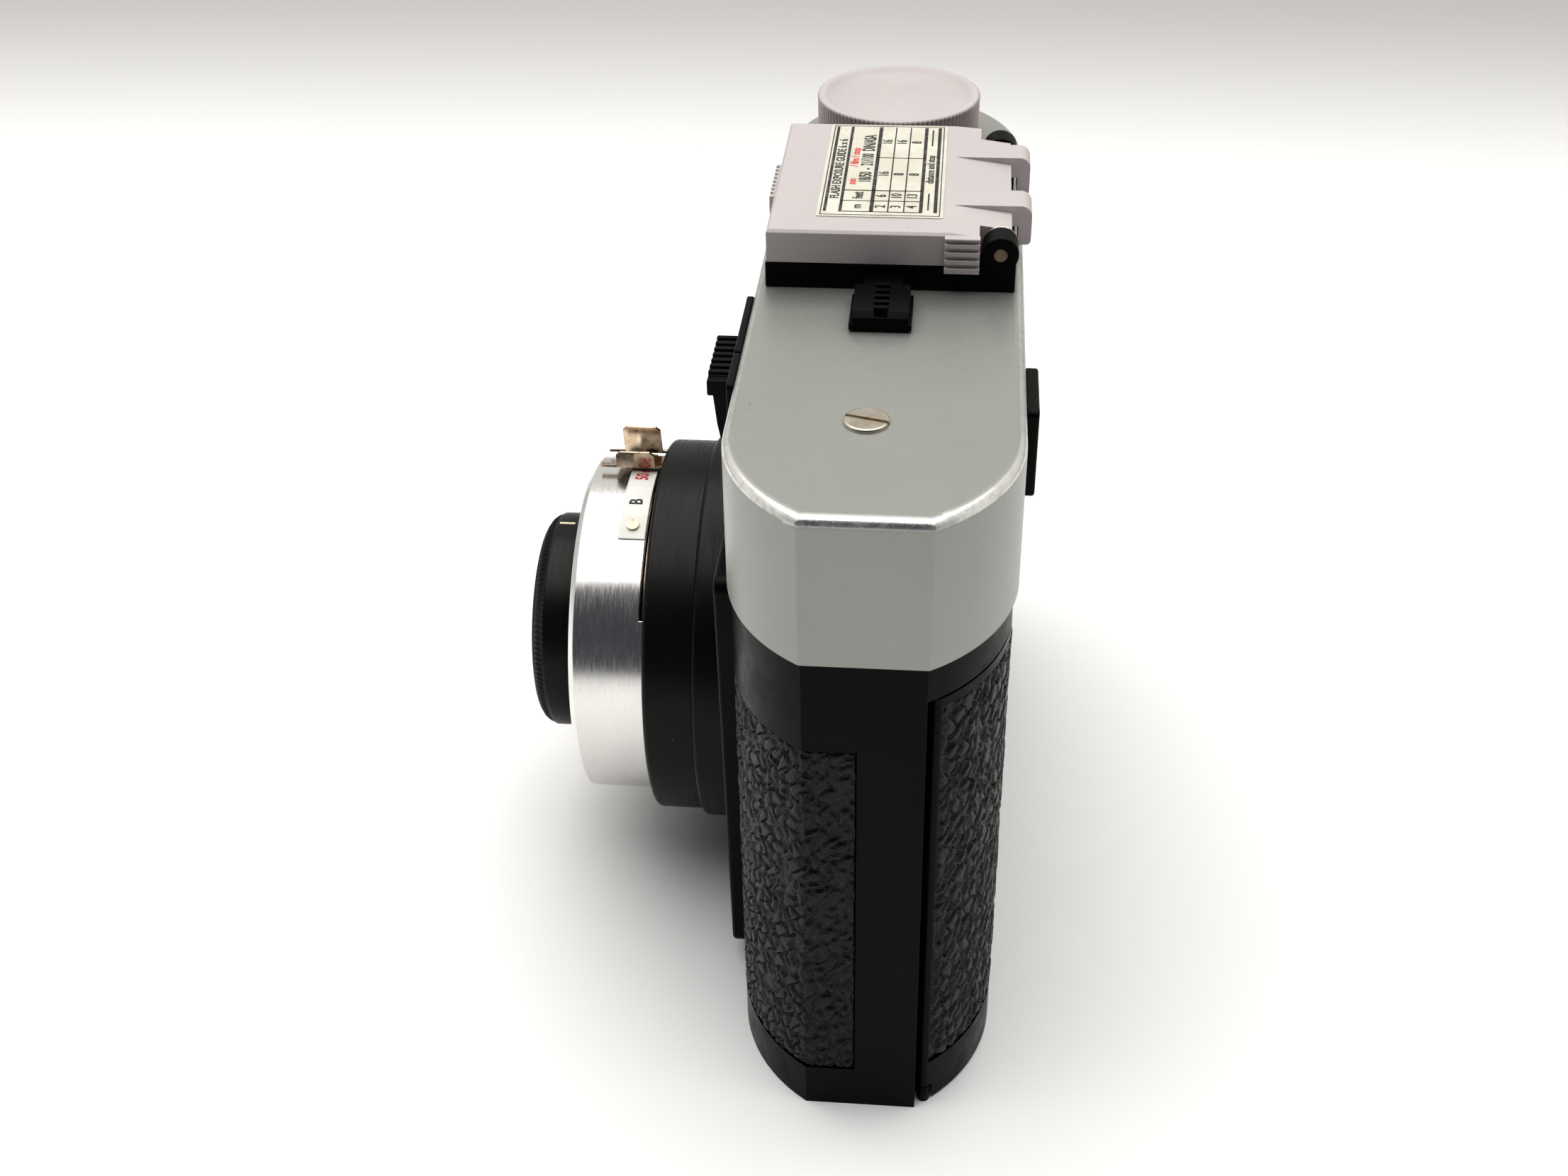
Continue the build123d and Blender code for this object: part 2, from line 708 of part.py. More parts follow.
def lid_slopes():
    """Wedges that let the lid fall away towards its back edge, beside each hook."""
    edge = lid_axis_y + 1.6
    profile = Polyline((slope_start, lid_top), (edge, lid_top - slope_drop), (edge, lid_top + 1),
                       (slope_start, lid_top + 1), close=True)
    side = Plane(origin=(flash_x0 - 1, 0, 0), x_dir=(0, 1, 0), z_dir=(1, 0, 0))
    wedge = extrude(side * make_face(profile), flash_x1 - flash_x0 + 2)
    for x0, x1 in finger_spans:
        wedge -= slab(x0, x1, 0, flash_y1, lid_low, lid_top + 2)
    return wedge


def lid_grips():
    """A stepped grip on the end of the lid and a ribbed one on its front."""
    grip = slab(flash_x1 - 0.2, flash_x1 + 1.1, 7.6, 12.5, lid_low, lid_top - 0.3)
    grip += slab(flash_x1 + gap, flash_x1 + 1.1, 7.6, 12.5, lid_low - 0.7, lid_low + 0.1)
    for step in range(4):
        z = lid_low + 0.1 + 1.2 * step
        grip -= slab(flash_x1 + 0.6, flash_x1 + 2, 7, 13, z, z + 0.6)
    front = flash_y0 + 0.2
    thumb = slab(-19.0, -7.0, front - 0.9, front + 0.2, lid_low + 0.3, lid_top - 1.2)
    for step in range(8):
        x = -18.4 + 1.4 * step
        thumb -= slab(x, x + 0.7, front - 2, front - 0.4, lid_low, lid_top)
    return grip + thumb


def flash_lid():
    lid = slab(flash_x0, flash_x1, flash_y0 + 0.2, lid_axis_y + 1.5, lid_low, lid_top)
    lid = chamfer(lid.edges().group_by(Axis.Z)[-1], 0.4)
    lid -= lid_slopes()
    lid -= slab(flash_x0 - 1, flash_x1 + 1, lid_axis_y, flash_y1, lid_low - 1, lid_axis_z)
    lid += lid_arc(1.5, flash_x0 + ear_width, flash_x1 - ear_width)
    for x in (flash_x0 - 1, flash_x1 - ear_width - gap):
        lid -= slab(x, x + ear_width + 1 + gap, lid_axis_y - 3.0, flash_y1 + 1, 100, 112)
    for x0, x1 in finger_spans:
        lid += lid_finger(x0, x1)
    cx, cy = reflector_centre
    half_x, half_y = reflector_size[0] / 2, reflector_size[1] / 2
    lid -= slab(cx - half_x, cx + half_x, cy - half_y, cy + half_y, 100, 108.8)
    lid -= lid_arc(lid_pin_radius + running, flash_x0 - 1, flash_x1 + 1)
    return lid + lid_grips()


def lid_label():
    return slab(-32.2, 2.4, -10.7, 7.2, lid_top, lid_top + 0.15)


def reflector():
    """A shallow bright dish in the lid; it faces forwards when the lid stands up."""
    cx, cy = reflector_centre
    ball = 60.0
    top = 108.7
    dish = Pos(cx, cy, top - ball) * (Sphere(ball) - Sphere(ball - 0.4))
    half_x, half_y = reflector_size[0] / 2, reflector_size[1] / 2
    return dish & slab(cx - half_x, cx + half_x, cy - half_y, cy + half_y, 104, 109)


def lid_hinge_pins():
    near = lid_arc(lid_pin_radius, -1.0, flash_x1)
    far = lid_arc(lid_pin_radius, flash_x0, -27.0)
    return Compound([near, far])


def bulb_socket():
    socket = rod_z(socket_x, socket_y, socket_radius, 92, 104.6)
    return socket - rod_z(socket_x, socket_y, socket_bore, 93, 106)


def socket_contact():
    return rod_z(socket_x, socket_y, 1.3, 93, 94.2)


def bulb_ejector():
    """A ribbed slide beside the flash; its tongue lifts the used bulb out of the socket."""
    low = cover_top + gap
    slide = slab(11.3, 20.5, -4.9, 3.6, low, low + 0.9)
    body = slab(11.3, 20.3, -4.5, 3.2, low + 0.8, 104.1)
    body = chamfer(body.edges().filter_by(Axis.Y).group_by(Axis.Z)[-1].group_by(Axis.X)[-1], 0.8)
    slide += body + slab(7.7, 11.5, -3.4, 2.1, low, 103.9)
    slide -= slab(11.3, 20.6, -1.5, 0.3, 103.4, 105)
    for step in range(5):
        x = 11.6 + 1.75 * step
        slide += slab(x, x + 0.8, -1.6, 0.4, 103.2, 104.5)
    return slide + slab(-6.6, 8, -2.5, 1.5, cover_top + 1.5, 103.8)


def battery():
    return rod_x(-8.4, 83.7, 7.5, -29.3, 5.7)


def battery_tray():
    tray = slab(-31, 8, -16.2, 14.0, band_top, 76.2)
    return tray + slab(-30.1, -29.3, -15, -2, 76, 86) + slab(5.7, 6.5, -15, -2, 76, 86)


def capacitor():
    return rod_x(7.5, 81.2, 5.0, -24, -4)


# ---------------------------------------------------------------- one file per piece

pieces = [
    body_shell, front_leatherette, door_leatherette, light_cone, film_rails, spool_pivots,
    film_brake, tripod_bush, door_hinge_pin,
    back_door, pressure_plate, pressure_springs, red_window, window_frame, window_slide, door_latch,
    wind_knob, knob_base, wind_shaft, takeup_spool, ratchet_wheel, click_spring,
    front_plate, rear_flange, front_flange, barrel_ring, lens_tube, scale_strip, scale_rivets,
    speed_lever, aperture_lever, shutter_plate, shutter_posts, shutter_blade, aperture_disc,
    focus_ring, front_lens, rear_lens, lens_retainer,
    top_cover, cover_screw, finder_front_frame, finder_window, finder_tube, finder_lens,
    eyepiece_frame, release_guide, release_lever,
    flash_base, flash_lid, lid_label, reflector, lid_hinge_pins, bulb_socket, socket_contact,
    bulb_ejector, battery, battery_tray, capacitor,
]

os.makedirs("parts", exist_ok=True)
for piece in pieces:
    export_step(piece(), f"parts/{piece.__name__}.step")
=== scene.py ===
import json
import math
from math import cos, pi, radians, sin, sqrt

import bmesh
import bpy
import numpy as np
from mathutils import Matrix, Vector

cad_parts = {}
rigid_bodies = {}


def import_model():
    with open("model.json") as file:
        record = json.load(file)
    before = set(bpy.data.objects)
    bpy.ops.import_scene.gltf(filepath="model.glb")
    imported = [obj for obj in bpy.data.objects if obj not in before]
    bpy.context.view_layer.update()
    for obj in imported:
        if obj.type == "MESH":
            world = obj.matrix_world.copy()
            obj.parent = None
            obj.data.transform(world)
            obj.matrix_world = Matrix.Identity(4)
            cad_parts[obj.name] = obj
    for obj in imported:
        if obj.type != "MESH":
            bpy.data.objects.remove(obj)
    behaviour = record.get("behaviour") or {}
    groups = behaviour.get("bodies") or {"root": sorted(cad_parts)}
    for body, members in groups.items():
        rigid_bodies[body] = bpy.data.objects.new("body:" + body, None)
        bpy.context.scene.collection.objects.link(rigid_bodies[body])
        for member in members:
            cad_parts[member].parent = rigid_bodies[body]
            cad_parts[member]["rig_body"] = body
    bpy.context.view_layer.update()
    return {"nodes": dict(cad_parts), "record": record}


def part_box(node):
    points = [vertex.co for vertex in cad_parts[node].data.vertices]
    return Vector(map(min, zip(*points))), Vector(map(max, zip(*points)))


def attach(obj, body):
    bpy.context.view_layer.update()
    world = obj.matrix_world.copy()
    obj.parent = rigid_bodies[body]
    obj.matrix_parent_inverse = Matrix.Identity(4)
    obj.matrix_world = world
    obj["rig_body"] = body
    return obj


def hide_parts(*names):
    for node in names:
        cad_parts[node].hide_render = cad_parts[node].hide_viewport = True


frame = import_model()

MM = 0.001
NODES = frame["nodes"]

# The photograph's camera, in the frame's metres and degrees.
CAMERA_AT = (0.2524, 0.0094, 0.2205)
CAMERA_YAW = 5.845
CAMERA_PITCH = 34.773
CAMERA_ROLL = -1.129
SENSOR_WIDTH = 36.0
CAMERA_LENS = 43.86

# The light and the floor, in metres and watts.
CEILING_AT = (-0.11, -0.1, 0.95)
CEILING_SIZE = (1.2, 1.4)
CEILING_WATTS = 8.2
FLOOR_REACH = 4.0


# ------------------------------------------------------------------ places taken from the CAD frame

def span(node, axis):
    """A node's lowest and highest value along an axis, in metres."""
    low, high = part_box(node)
    return low[axis], high[axis]


def in_mm(node, axis):
    """A node's lowest and highest value along an axis, in mm."""
    low, high = span(node, axis)
    return low / MM, high / MM


def middle(node, axis):
    """The middle of a node's box along an axis, in metres."""
    low, high = span(node, axis)
    return (low + high) / 2


def radius_of(node):
    """A round node's radius, in metres, from its width along X."""
    low, high = span(node, 0)
    return (high - low) / 2


LENS_Z = middle("barrel_ring", 2)
BARREL_RADIUS = radius_of("barrel_ring")
FOCUS_RADIUS = radius_of("focus_ring")
HALF_LENGTH = span("top_cover", 0)[1]
HALF_DEPTH = span("top_cover", 1)[1]
SKIN_INSET = HALF_LENGTH - span("body_shell", 0)[1]
KNOB_CENTRE = (middle("wind_knob", 0), middle("wind_knob", 1))


# ------------------------------------------------------------------ node graphs

# The mix node's sockets for colours: its factor, its two colours and its result.
MIX_INPUTS = (0, 6, 7)
MIX_OUTPUT = 2


class Shader:
    """A material's node graph, with short names for the nodes that every finish uses."""

    def __init__(self, name):
        self.material = bpy.data.materials.new(name)
        self.material.use_nodes = True
        self.tree = self.material.node_tree
        self.surface = self.tree.nodes["Principled BSDF"]
        self.coords = self.tree.nodes.new("ShaderNodeTexCoord")

    def add(self, kind, inputs=None, **settings):
        """A new node with its settings, and numbers or sockets for its inputs."""
        node = self.tree.nodes.new(kind)
        for key, value in settings.items():
            setattr(node, key, value)
        for key, value in (inputs or {}).items():
            self.feed(node.inputs[key], value)
        return node

    def feed(self, socket, value):
        """Link another node's output to a socket, or set the socket's plain value."""
        if isinstance(value, bpy.types.NodeSocket):
            self.tree.links.new(value, socket)
        else:
            socket.default_value = value

    def set(self, **values):
        """Plain numbers or sockets for the Principled shader."""
        for key, value in values.items():
            self.feed(self.surface.inputs[key.replace("_", " ")], value)

    def place(self, stretch=(1, 1, 1), turn=(0, 0, 0)):
        """Object coordinates in millimetres, stretched and turned."""
        scale = tuple(share / MM for share in stretch)
        inputs = {"Vector": self.coords.outputs["Object"], "Scale": scale, "Rotation": turn}
        return self.add("ShaderNodeMapping", inputs).outputs["Vector"]

    def noise(self, scale, detail=4.0, roughness=0.55, where=None):
        """Cloudy noise from 0 to 1, with scale features to a millimetre."""
        inputs = {"Vector": where or self.place(), "Scale": scale, "Detail": detail, "Roughness": roughness}
        return self.add("ShaderNodeTexNoise", inputs).outputs["Fac"]

    def cells(self, scale, feature="F1", where=None):
        """Distance to the nearest cell's centre, or to its edge, with scale cells to a millimetre."""
        inputs = {"Vector": where or self.place(), "Scale": scale}
        return self.add("ShaderNodeTexVoronoi", inputs, feature=feature).outputs["Distance"]

    def math(self, operation, a, b=0.0):
        """The result of one operation on numbers or sockets."""
        return self.add("ShaderNodeMath", {0: a, 1: b}, operation=operation).outputs[0]

    def step(self, value, low, high, to_low=0.0, to_high=1.0):
        """A smooth step of value from low..high to to_low..to_high."""
        inputs = {"Value": value, "From Min": low, "From Max": high, "To Min": to_low, "To Max": to_high}
        return self.add("ShaderNodeMapRange", inputs, interpolation_type="SMOOTHSTEP").outputs["Result"]

    def mix(self, factor, a, b):
        """Colour a where factor is 0, and colour b where it is 1."""
        inputs = dict(zip(MIX_INPUTS, (factor, a, b)))
        return self.add("ShaderNodeMix", inputs, data_type="RGBA").outputs[MIX_OUTPUT]

    def bump(self, height, depth_mm, strength, under=None):
        """A shading normal raised by height, over another one if given."""
        inputs = {"Height": height, "Distance": depth_mm * MM, "Strength": strength}
        if under is not None:
            inputs["Normal"] = under
        return self.add("ShaderNodeBump", inputs).outputs["Normal"]

    def axis(self, index, source="Object"):
        """One coordinate of the surface point, or of its normal."""
        split = self.add("ShaderNodeSeparateXYZ", {0: self.coords.outputs[source]})
        return split.outputs[index]


def grey(value, warmth=0.0):
    """A neutral colour, warmer or cooler by a little."""
    return (value * (1 + warmth), value, value * (1 - warmth), 1.0)


# ------------------------------------------------------------------ materials

def specks(s, scale, amount):
    """Small scattered spots, 1 inside a spot: dust or chipped points."""
    dots = s.cells(scale)
    patches = s.noise(scale * 0.13, 2.0)
    cut = s.step(patches, 0.5, 0.75, 0.0, amount)
    return s.math("LESS_THAN", dots, cut)


def black_plastic(name, base=0.004, shine=0.3, dust=0.085, level=0.17):
    """Moulded black plastic: faint mould grain, handling marks and dust specks."""
    s = Shader(name)
    cloud = s.noise(0.06, 5.0)
    dots = specks(s, 0.9, dust)
    colour = s.mix(cloud, grey(base, -0.04), grey(base * 1.9, -0.02))
    s.set(Base_Color=s.mix(dots, colour, grey(0.16, 0.03)))
    rub = s.noise(0.22, 6.0, 0.65)
    s.set(Roughness=s.step(rub, 0.3, 0.75, shine - 0.05, shine + 0.14))
    grain = s.noise(6.0, 3.0)
    waves = s.noise(0.35, 2.0)
    s.set(Normal=s.bump(waves, 0.05, 0.35, s.bump(grain, 0.006, 0.5)))
    s.set(Specular_IOR_Level=level)
    return s.material


def leather():
    """Pebbled leatherette: the pebbles are in the mesh, the pores and the worn shine are here."""
    s = Shader("leatherette")
    cloud = s.noise(0.09, 4.0)
    fine = s.noise(3.4, 4.0, 0.6)
    colour = s.mix(cloud, grey(0.004, 0.0), grey(0.009, 0.03))
    s.set(Base_Color=s.mix(s.step(fine, 0.62, 0.8), colour, grey(0.02, 0.05)))
    s.set(Roughness=s.step(fine, 0.25, 0.8, 0.22, 0.38), Specular_IOR_Level=0.38)
    creases = s.cells(1.6, "DISTANCE_TO_EDGE", s.place((1, 1, 0.7)))
    s.set(Normal=s.bump(fine, 0.03, 0.6, s.bump(s.step(creases, 0.0, 0.22), 0.06, 0.5)))
    return s.material


def satin_cover():
    """Satin silver sheet, polished and near white along its rounded top rim, which is partly worn bare metal
    and partly a painted highlight, with fine scratches and specks.
    """
    s = Shader("satin_cover")
    up = s.axis(2, "Normal")
    # The rounded top rim, strongest towards the ends, is painted near white: partly worn bare metal, partly a
    # painted highlight.
    rim = s.math("MULTIPLY", s.step(up, 0.1, 0.4), s.step(up, 0.985, 0.85))
    end = s.step(s.math("ABSOLUTE", s.axis(0)), HALF_LENGTH - 30 * MM, HALF_LENGTH - 4 * MM, 0.35, 1.0)
    ragged = s.step(s.noise(0.4, 6.0, 0.75), 0.36, 0.56, 0.5, 1.0)
    worn = s.math("MULTIPLY", s.math("MULTIPLY", rim, end), ragged)
    cloud = s.noise(0.03, 5.0)
    satin = s.mix(cloud, (0.33, 0.335, 0.315, 1), (0.39, 0.395, 0.375, 1))
    dots = specks(s, 0.6, 0.11)
    satin = s.mix(dots, satin, grey(0.2, 0.04))
    # Near white where the rim mask is high: worn bare metal and a painted highlight.
    s.set(Base_Color=s.mix(worn, satin, (0.95, 0.94, 0.91, 1)))
    s.set(Metallic=s.math("ADD", s.math("MULTIPLY", worn, 0.5), 0.5))
    grain = s.noise(2.6, 6.0, 0.7)
    rough = s.step(grain, 0.3, 0.75, 0.33, 0.43)
    s.set(Roughness=s.math("SUBTRACT", rough, s.math("MULTIPLY", worn, 0.12)))
    hair = s.noise(0.8, 2.0, 0.5, s.place((0.12, 3.4, 1.0), (0, 0, 0.6)))
    dents = s.noise(0.12, 3.0)
    normal = s.bump(grain, 0.004, 0.5)
    normal = s.bump(s.step(hair, 0.68, 0.74), 0.003, 0.4, normal)
    s.set(Normal=s.bump(dents, 0.08, 0.3, normal))
    return s.material


def pale_plastic():
    """Pinkish-grey moulded plastic, a little yellowed and speckled."""
    s = Shader("pale_plastic")
    cloud = s.noise(0.07, 4.0)
    stain = s.step(s.noise(0.16, 5.0, 0.6), 0.6, 0.8)
    base = s.mix(cloud, (0.49, 0.455, 0.455, 1), (0.55, 0.515, 0.51, 1))
    base = s.mix(s.math("MULTIPLY", stain, 0.55), base, (0.50, 0.45, 0.37, 1))
    dots = specks(s, 0.75, 0.075)
    s.set(Base_Color=s.mix(dots, base, (0.16, 0.12, 0.10, 1)))
    grain = s.noise(4.5, 3.0)
    s.set(Roughness=s.step(s.noise(0.4, 5.0), 0.3, 0.7, 0.3, 0.44))
    s.set(Normal=s.bump(grain, 0.006, 0.4, s.bump(s.noise(0.3, 2.0), 0.04, 0.3)))
    s.set(Subsurface_Weight=0.08, Subsurface_Scale=0.001)
    return s.material


def lens_vector(s, spread):
    """Coordinates for turned metal: mm along the lens axis, spread angle round it, and mm out from it."""
    x, y, z = s.add("ShaderNodeSeparateXYZ", {0: s.coords.outputs["Object"]}).outputs
    up = s.math("SUBTRACT", z, LENS_Z)
    turn = s.math("ARCTAN2", x, up)
    out = s.math("SQRT", s.math("ADD", s.math("POWER", x, 2.0), s.math("POWER", up, 2.0)))
    along = s.math("MULTIPLY", y, 1 / MM)
    outward = s.math("MULTIPLY", out, 1 / MM)
    joined = s.add("ShaderNodeCombineXYZ", {0: along, 1: s.math("MULTIPLY", turn, spread), 2: outward})
    return joined.outputs[0]


def spun_aluminium():
    """Bare aluminium with turning marks round the lens axis, small nicks and a few oxide spots."""
    s = Shader("spun_aluminium")
    marks = s.noise(7.0, 3.0, 0.6, lens_vector(s, 1.4))
    broad = s.noise(0.14, 4.0)
    tint = s.mix(broad, (0.74, 0.73, 0.71, 1), (0.84, 0.83, 0.81, 1))
    dots = specks(s, 0.8, 0.06)
    s.set(Base_Color=s.mix(dots, tint, grey(0.35, 0.08)), Metallic=1.0)
    s.set(Roughness=s.step(marks, 0.25, 0.8, 0.17, 0.3))
    nicks = s.step(s.noise(0.9, 3.0, 0.5, s.place((0.25, 3.0, 1.0))), 0.7, 0.76)
    s.set(Normal=s.bump(nicks, 0.02, 0.4, s.bump(marks, 0.006, 0.55)))
    return s.material


def black_lacquer():
    """Satin black turned metal or plastic, with faint turning marks and dust."""
    s = Shader("black_flange")
    marks = s.noise(3.0, 3.0, 0.6, lens_vector(s, 1.2))
    cloud = s.noise(0.1, 4.0)
    colour = s.mix(cloud, grey(0.006, -0.03), grey(0.011, -0.02))
    dots = specks(s, 0.9, 0.1)
    s.set(Base_Color=s.mix(dots, colour, grey(0.2, 0.04)))
    s.set(Roughness=s.step(marks, 0.2, 0.8, 0.3, 0.44), Specular_IOR_Level=0.35)
    s.set(Normal=s.bump(marks, 0.008, 0.4, s.bump(s.noise(0.3, 2.0), 0.04, 0.25)))
    return s.material


def metal(name, low, high, rough, stain=None, scale=0.5):
    """Plain plated or bare metal with cloudy tarnish and rubbing marks."""
    s = Shader(name)
    cloud = s.noise(scale, 5.0, 0.6)
    colour = s.mix(s.step(cloud, 0.3, 0.7), low, high)
    if stain:
        colour = s.mix(s.step(s.noise(scale * 1.7, 4.0), 0.52, 0.72, 0.0, 0.7), colour, stain)
    s.set(Base_Color=colour, Metallic=1.0)
    s.set(Roughness=s.step(s.noise(scale * 3, 5.0), 0.3, 0.7, *rough))
    s.set(Normal=s.bump(s.noise(9.0, 2.0, 0.5, s.place((1, 0.2, 1))), 0.004, 0.4))
    return s.material


def printed(name, low, high, rough=0.5):
    """Enamel or card under print: slightly mottled, with a faint fibre."""
    s = Shader(name)
    cloud = s.noise(0.25, 5.0, 0.6)
    dots = specks(s, 1.2, 0.08)
    base = s.mix(s.step(cloud, 0.35, 0.7), low, high)
    s.set(Base_Color=s.mix(dots, base, grey(0.25, 0.15)))
    s.set(Roughness=s.step(s.noise(1.2, 4.0), 0.3, 0.7, rough - 0.08, rough + 0.08))
    s.set(Normal=s.bump(s.noise(7.0, 3.0), 0.004, 0.4))
    return s.material


def ink(name, colour, worn=0.12):
    """Printing ink, patchy where it has rubbed off."""
    s = Shader(name)
    patch = s.noise(1.6, 4.0, 0.6)
    light = tuple(c + worn for c in colour[:3]) + (1.0,)
    s.set(Base_Color=s.mix(s.step(patch, 0.45, 0.75), colour, light))
    s.set(Roughness=s.step(patch, 0.3, 0.7, 0.4, 0.6))
    return s.material


def lens_glass(name, tint=(0.93, 0.96, 1.0, 1.0), coat=(0.78, 0.8, 1.0, 1.0)):
    """Clear glass with a faint coloured coating and a little dust."""
    s = Shader(name)
    dust = s.noise(2.2, 6.0, 0.7)
    s.set(Base_Color=s.mix(s.step(dust, 0.6, 0.85, 0.0, 0.3), tint, grey(0.7)))
    s.set(Roughness=s.step(dust, 0.5, 0.85, 0.01, 0.06))
    s.set(Transmission_Weight=1.0, IOR=1.52, Coat_Weight=0.3, Coat_Roughness=0.02, Coat_Tint=coat)
    return s.material


def mirror_finish():
    """Bright hammered metal of the flash reflector."""
    s = Shader("bright_reflector")
    cloud = s.noise(0.3, 4.0)
    s.set(Base_Color=s.mix(cloud, grey(0.86), grey(0.93, 0.01)), Metallic=1.0)
    s.set(Roughness=s.step(s.noise(1.5, 5.0), 0.3, 0.7, 0.05, 0.14))
    s.set(Normal=s.bump(s.cells(0.9), 0.05, 0.3))
    return s.material


def floor_paper():
    """White paper sweep with the faintest mottling and a few dust grains, with painted shade that greys it
    far behind.
    """
    s = Shader("pale_floor")
    # Painted shade: the paper's colour darkens to grey from 0.17 m to 0.47 m behind the middle.
    far = s.step(s.axis(0), -0.17, -0.47)
    near = s.mix(s.noise(0.004, 3.0), grey(0.93, 0.0), grey(0.95, 0.003))
    dots = s.math("LESS_THAN", s.cells(0.035), 0.012)
    near = s.mix(s.math("MULTIPLY", dots, 0.5), near, grey(0.45))
    s.set(Base_Color=s.mix(far, near, (0.47, 0.462, 0.45, 1)))
    s.set(Roughness=s.step(s.noise(0.02, 3.0), 0.3, 0.7, 0.6, 0.8))
    s.set(Normal=s.bump(s.noise(1.5, 3.0), 0.01, 0.2))
    return s.material


FINISH = {
    "black_moulding": black_plastic("black_moulding"),
    "leatherette": leather(),
    "satin_cover": satin_cover(),
    "pale_plastic": pale_plastic(),
    "black_flange": black_lacquer(),
    "spun_aluminium": spun_aluminium(),
    "nickel": metal("nickel", (0.34, 0.27, 0.21, 1), (0.55, 0.46, 0.37, 1), (0.14, 0.26),
                    (0.22, 0.15, 0.11, 1), 0.35),
    "spring_steel": metal("spring_steel", (0.46, 0.46, 0.47, 1), (0.53, 0.53, 0.535, 1), (0.27, 0.33),
                          scale=0.15),
    "black_steel": black_plastic("black_steel", 0.02, 0.42, 0.05),
    "scale_white": printed("scale_white", (0.80, 0.79, 0.74, 1), (0.88, 0.875, 0.84, 1), 0.34),
    "label_ivory": printed("label_ivory", (0.60, 0.575, 0.49, 1), (0.69, 0.67, 0.59, 1), 0.42),
    "clear_glass": lens_glass("clear_glass"),
    "red_plastic": lens_glass("red_plastic", (0.55, 0.01, 0.01, 1.0), (1.0, 1.0, 1.0, 1.0)),
    "bright_reflector": mirror_finish(),
    "plated_screw": metal("plated_screw", (0.58, 0.53, 0.45, 1), (0.66, 0.62, 0.54, 1), (0.2, 0.3),
                          (0.5, 0.42, 0.3, 1), 0.25),
    "brass": metal("brass", (0.60, 0.44, 0.2, 1), (0.78, 0.6, 0.32, 1), (0.2, 0.4), (0.25, 0.16, 0.07, 1)),
    "flash_black": black_plastic("flash_black", 0.004, 0.4, 0.05),
    "spool_plastic": black_plastic("spool_plastic", 0.03, 0.4, 0.05),
    "battery_case": printed("battery_case", (0.06, 0.1, 0.28, 1), (0.09, 0.14, 0.34, 1)),
    "capacitor_case": printed("capacitor_case", (0.30, 0.14, 0.04, 1), (0.42, 0.2, 0.07, 1)),
}
BLACK_INK = ink("black_ink", (0.02, 0.02, 0.02, 1))
RED_INK = ink("red_ink", (0.62, 0.05, 0.05, 1))
CREAM_PAINT = ink("cream_paint", (0.75, 0.68, 0.5, 1), 0.05)


def finish_nodes():
    """Give every CAD node the procedural finish of its material slot."""
    for part in frame["record"]["subparts"]:
        mesh = NODES[part["node"]].data
        mesh.materials.clear()
        mesh.materials.append(FINISH[part["material_slot"]])


# ------------------------------------------------------------------ mesh building

WELD = 0.002            # mm: points nearer than this are one point
FLAT_ANGLE = 0.5        # degrees: faces flatter than this are one face
SHARP_ANGLE = 24        # degrees: edges sharper than this are rounded


def new_piece(name, bm, material, body, smooth=True):
    """Turn a bmesh in metres into a piece that rides on a CAD body."""
    bmesh.ops.recalc_face_normals(bm, faces=bm.faces)
    mesh = bpy.data.meshes.new(name)
    bm.to_mesh(mesh)
    bm.free()
    for face in mesh.polygons:
        face.use_smooth = smooth
    piece = bpy.data.objects.new(name, mesh)
    bpy.context.scene.collection.objects.link(piece)
    mesh.materials.append(material)
    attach(piece, body)
    return piece


def even_shading(piece):
    """Keep flat faces flat and the rounded edges smooth."""
    weights = piece.modifiers.new("even_shading", "WEIGHTED_NORMAL")
    weights.keep_sharp = True
    weights.weight = 100


def slot_of(node):
    """The material slot that the record gives a CAD node."""
    return next(p["material_slot"] for p in frame["record"]["subparts"] if p["node"] == node)


def new_version(name, bm, node, material=None):
    """A piece that stands in for a CAD node: on the node's body, with the finish of the node's slot unless
    another material is given.
    """
    slot = slot_of(node)
    piece = new_piece(name, bm, material or FINISH[slot], NODES[node]["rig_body"])
    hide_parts(node)
    return piece


def softened(node, radius, material=None):
    """Rebuild a moulded or pressed CAD piece with its edges rounded by radius, in mm."""
    bm = bmesh.new()
    bm.from_mesh(NODES[node].data)
    bmesh.ops.remove_doubles(bm, verts=bm.verts, dist=WELD * MM)
    bmesh.ops.dissolve_limit(bm, angle_limit=radians(FLAT_ANGLE), verts=bm.verts, edges=bm.edges)
    edges = [edge for edge in bm.edges if len(edge.link_faces) == 2]
    corners = [edge for edge in edges if edge.calc_face_angle(0.0) > radians(SHARP_ANGLE)]
    bmesh.ops.bevel(bm, geom=corners, offset=radius * MM, segments=2, profile=0.5,
                    affect="EDGES", clamp_overlap=True)
    even_shading(new_version(node + "_finished", bm, node, material))


# ------------------------------------------------------------------ leatherette

CORNER_RADIUS = 25 * MM
FACET_HALF = 8 * MM             # half the width of the flat end facet
CORNER_Y = HALF_DEPTH - CORNER_RADIUS
CORNER_X = HALF_LENGTH - sqrt(CORNER_RADIUS ** 2 - (FACET_HALF - CORNER_Y) ** 2)
SKIN_DEPTH = 0.5 * MM           # how far the covering reaches into its recess
SKIN_STEP = 0.28 * MM           # the mesh's step
SKIN_PROUD = 0.12 * MM          # how far the highest pebbles stand out of the body
PEBBLE_HEIGHT = 0.5 * MM
PEBBLE_WIDTH = 1.5              # mm, round the body
PEBBLE_LENGTH = 2.7             # mm, up the body
PEBBLE_TABLE = 128              # pebbles before the pattern repeats
BORDER = 0.5 * MM               # the rim where the pebbles fade out
GRIP_START = 39 * MM            # where the front's covering begins, from the middle


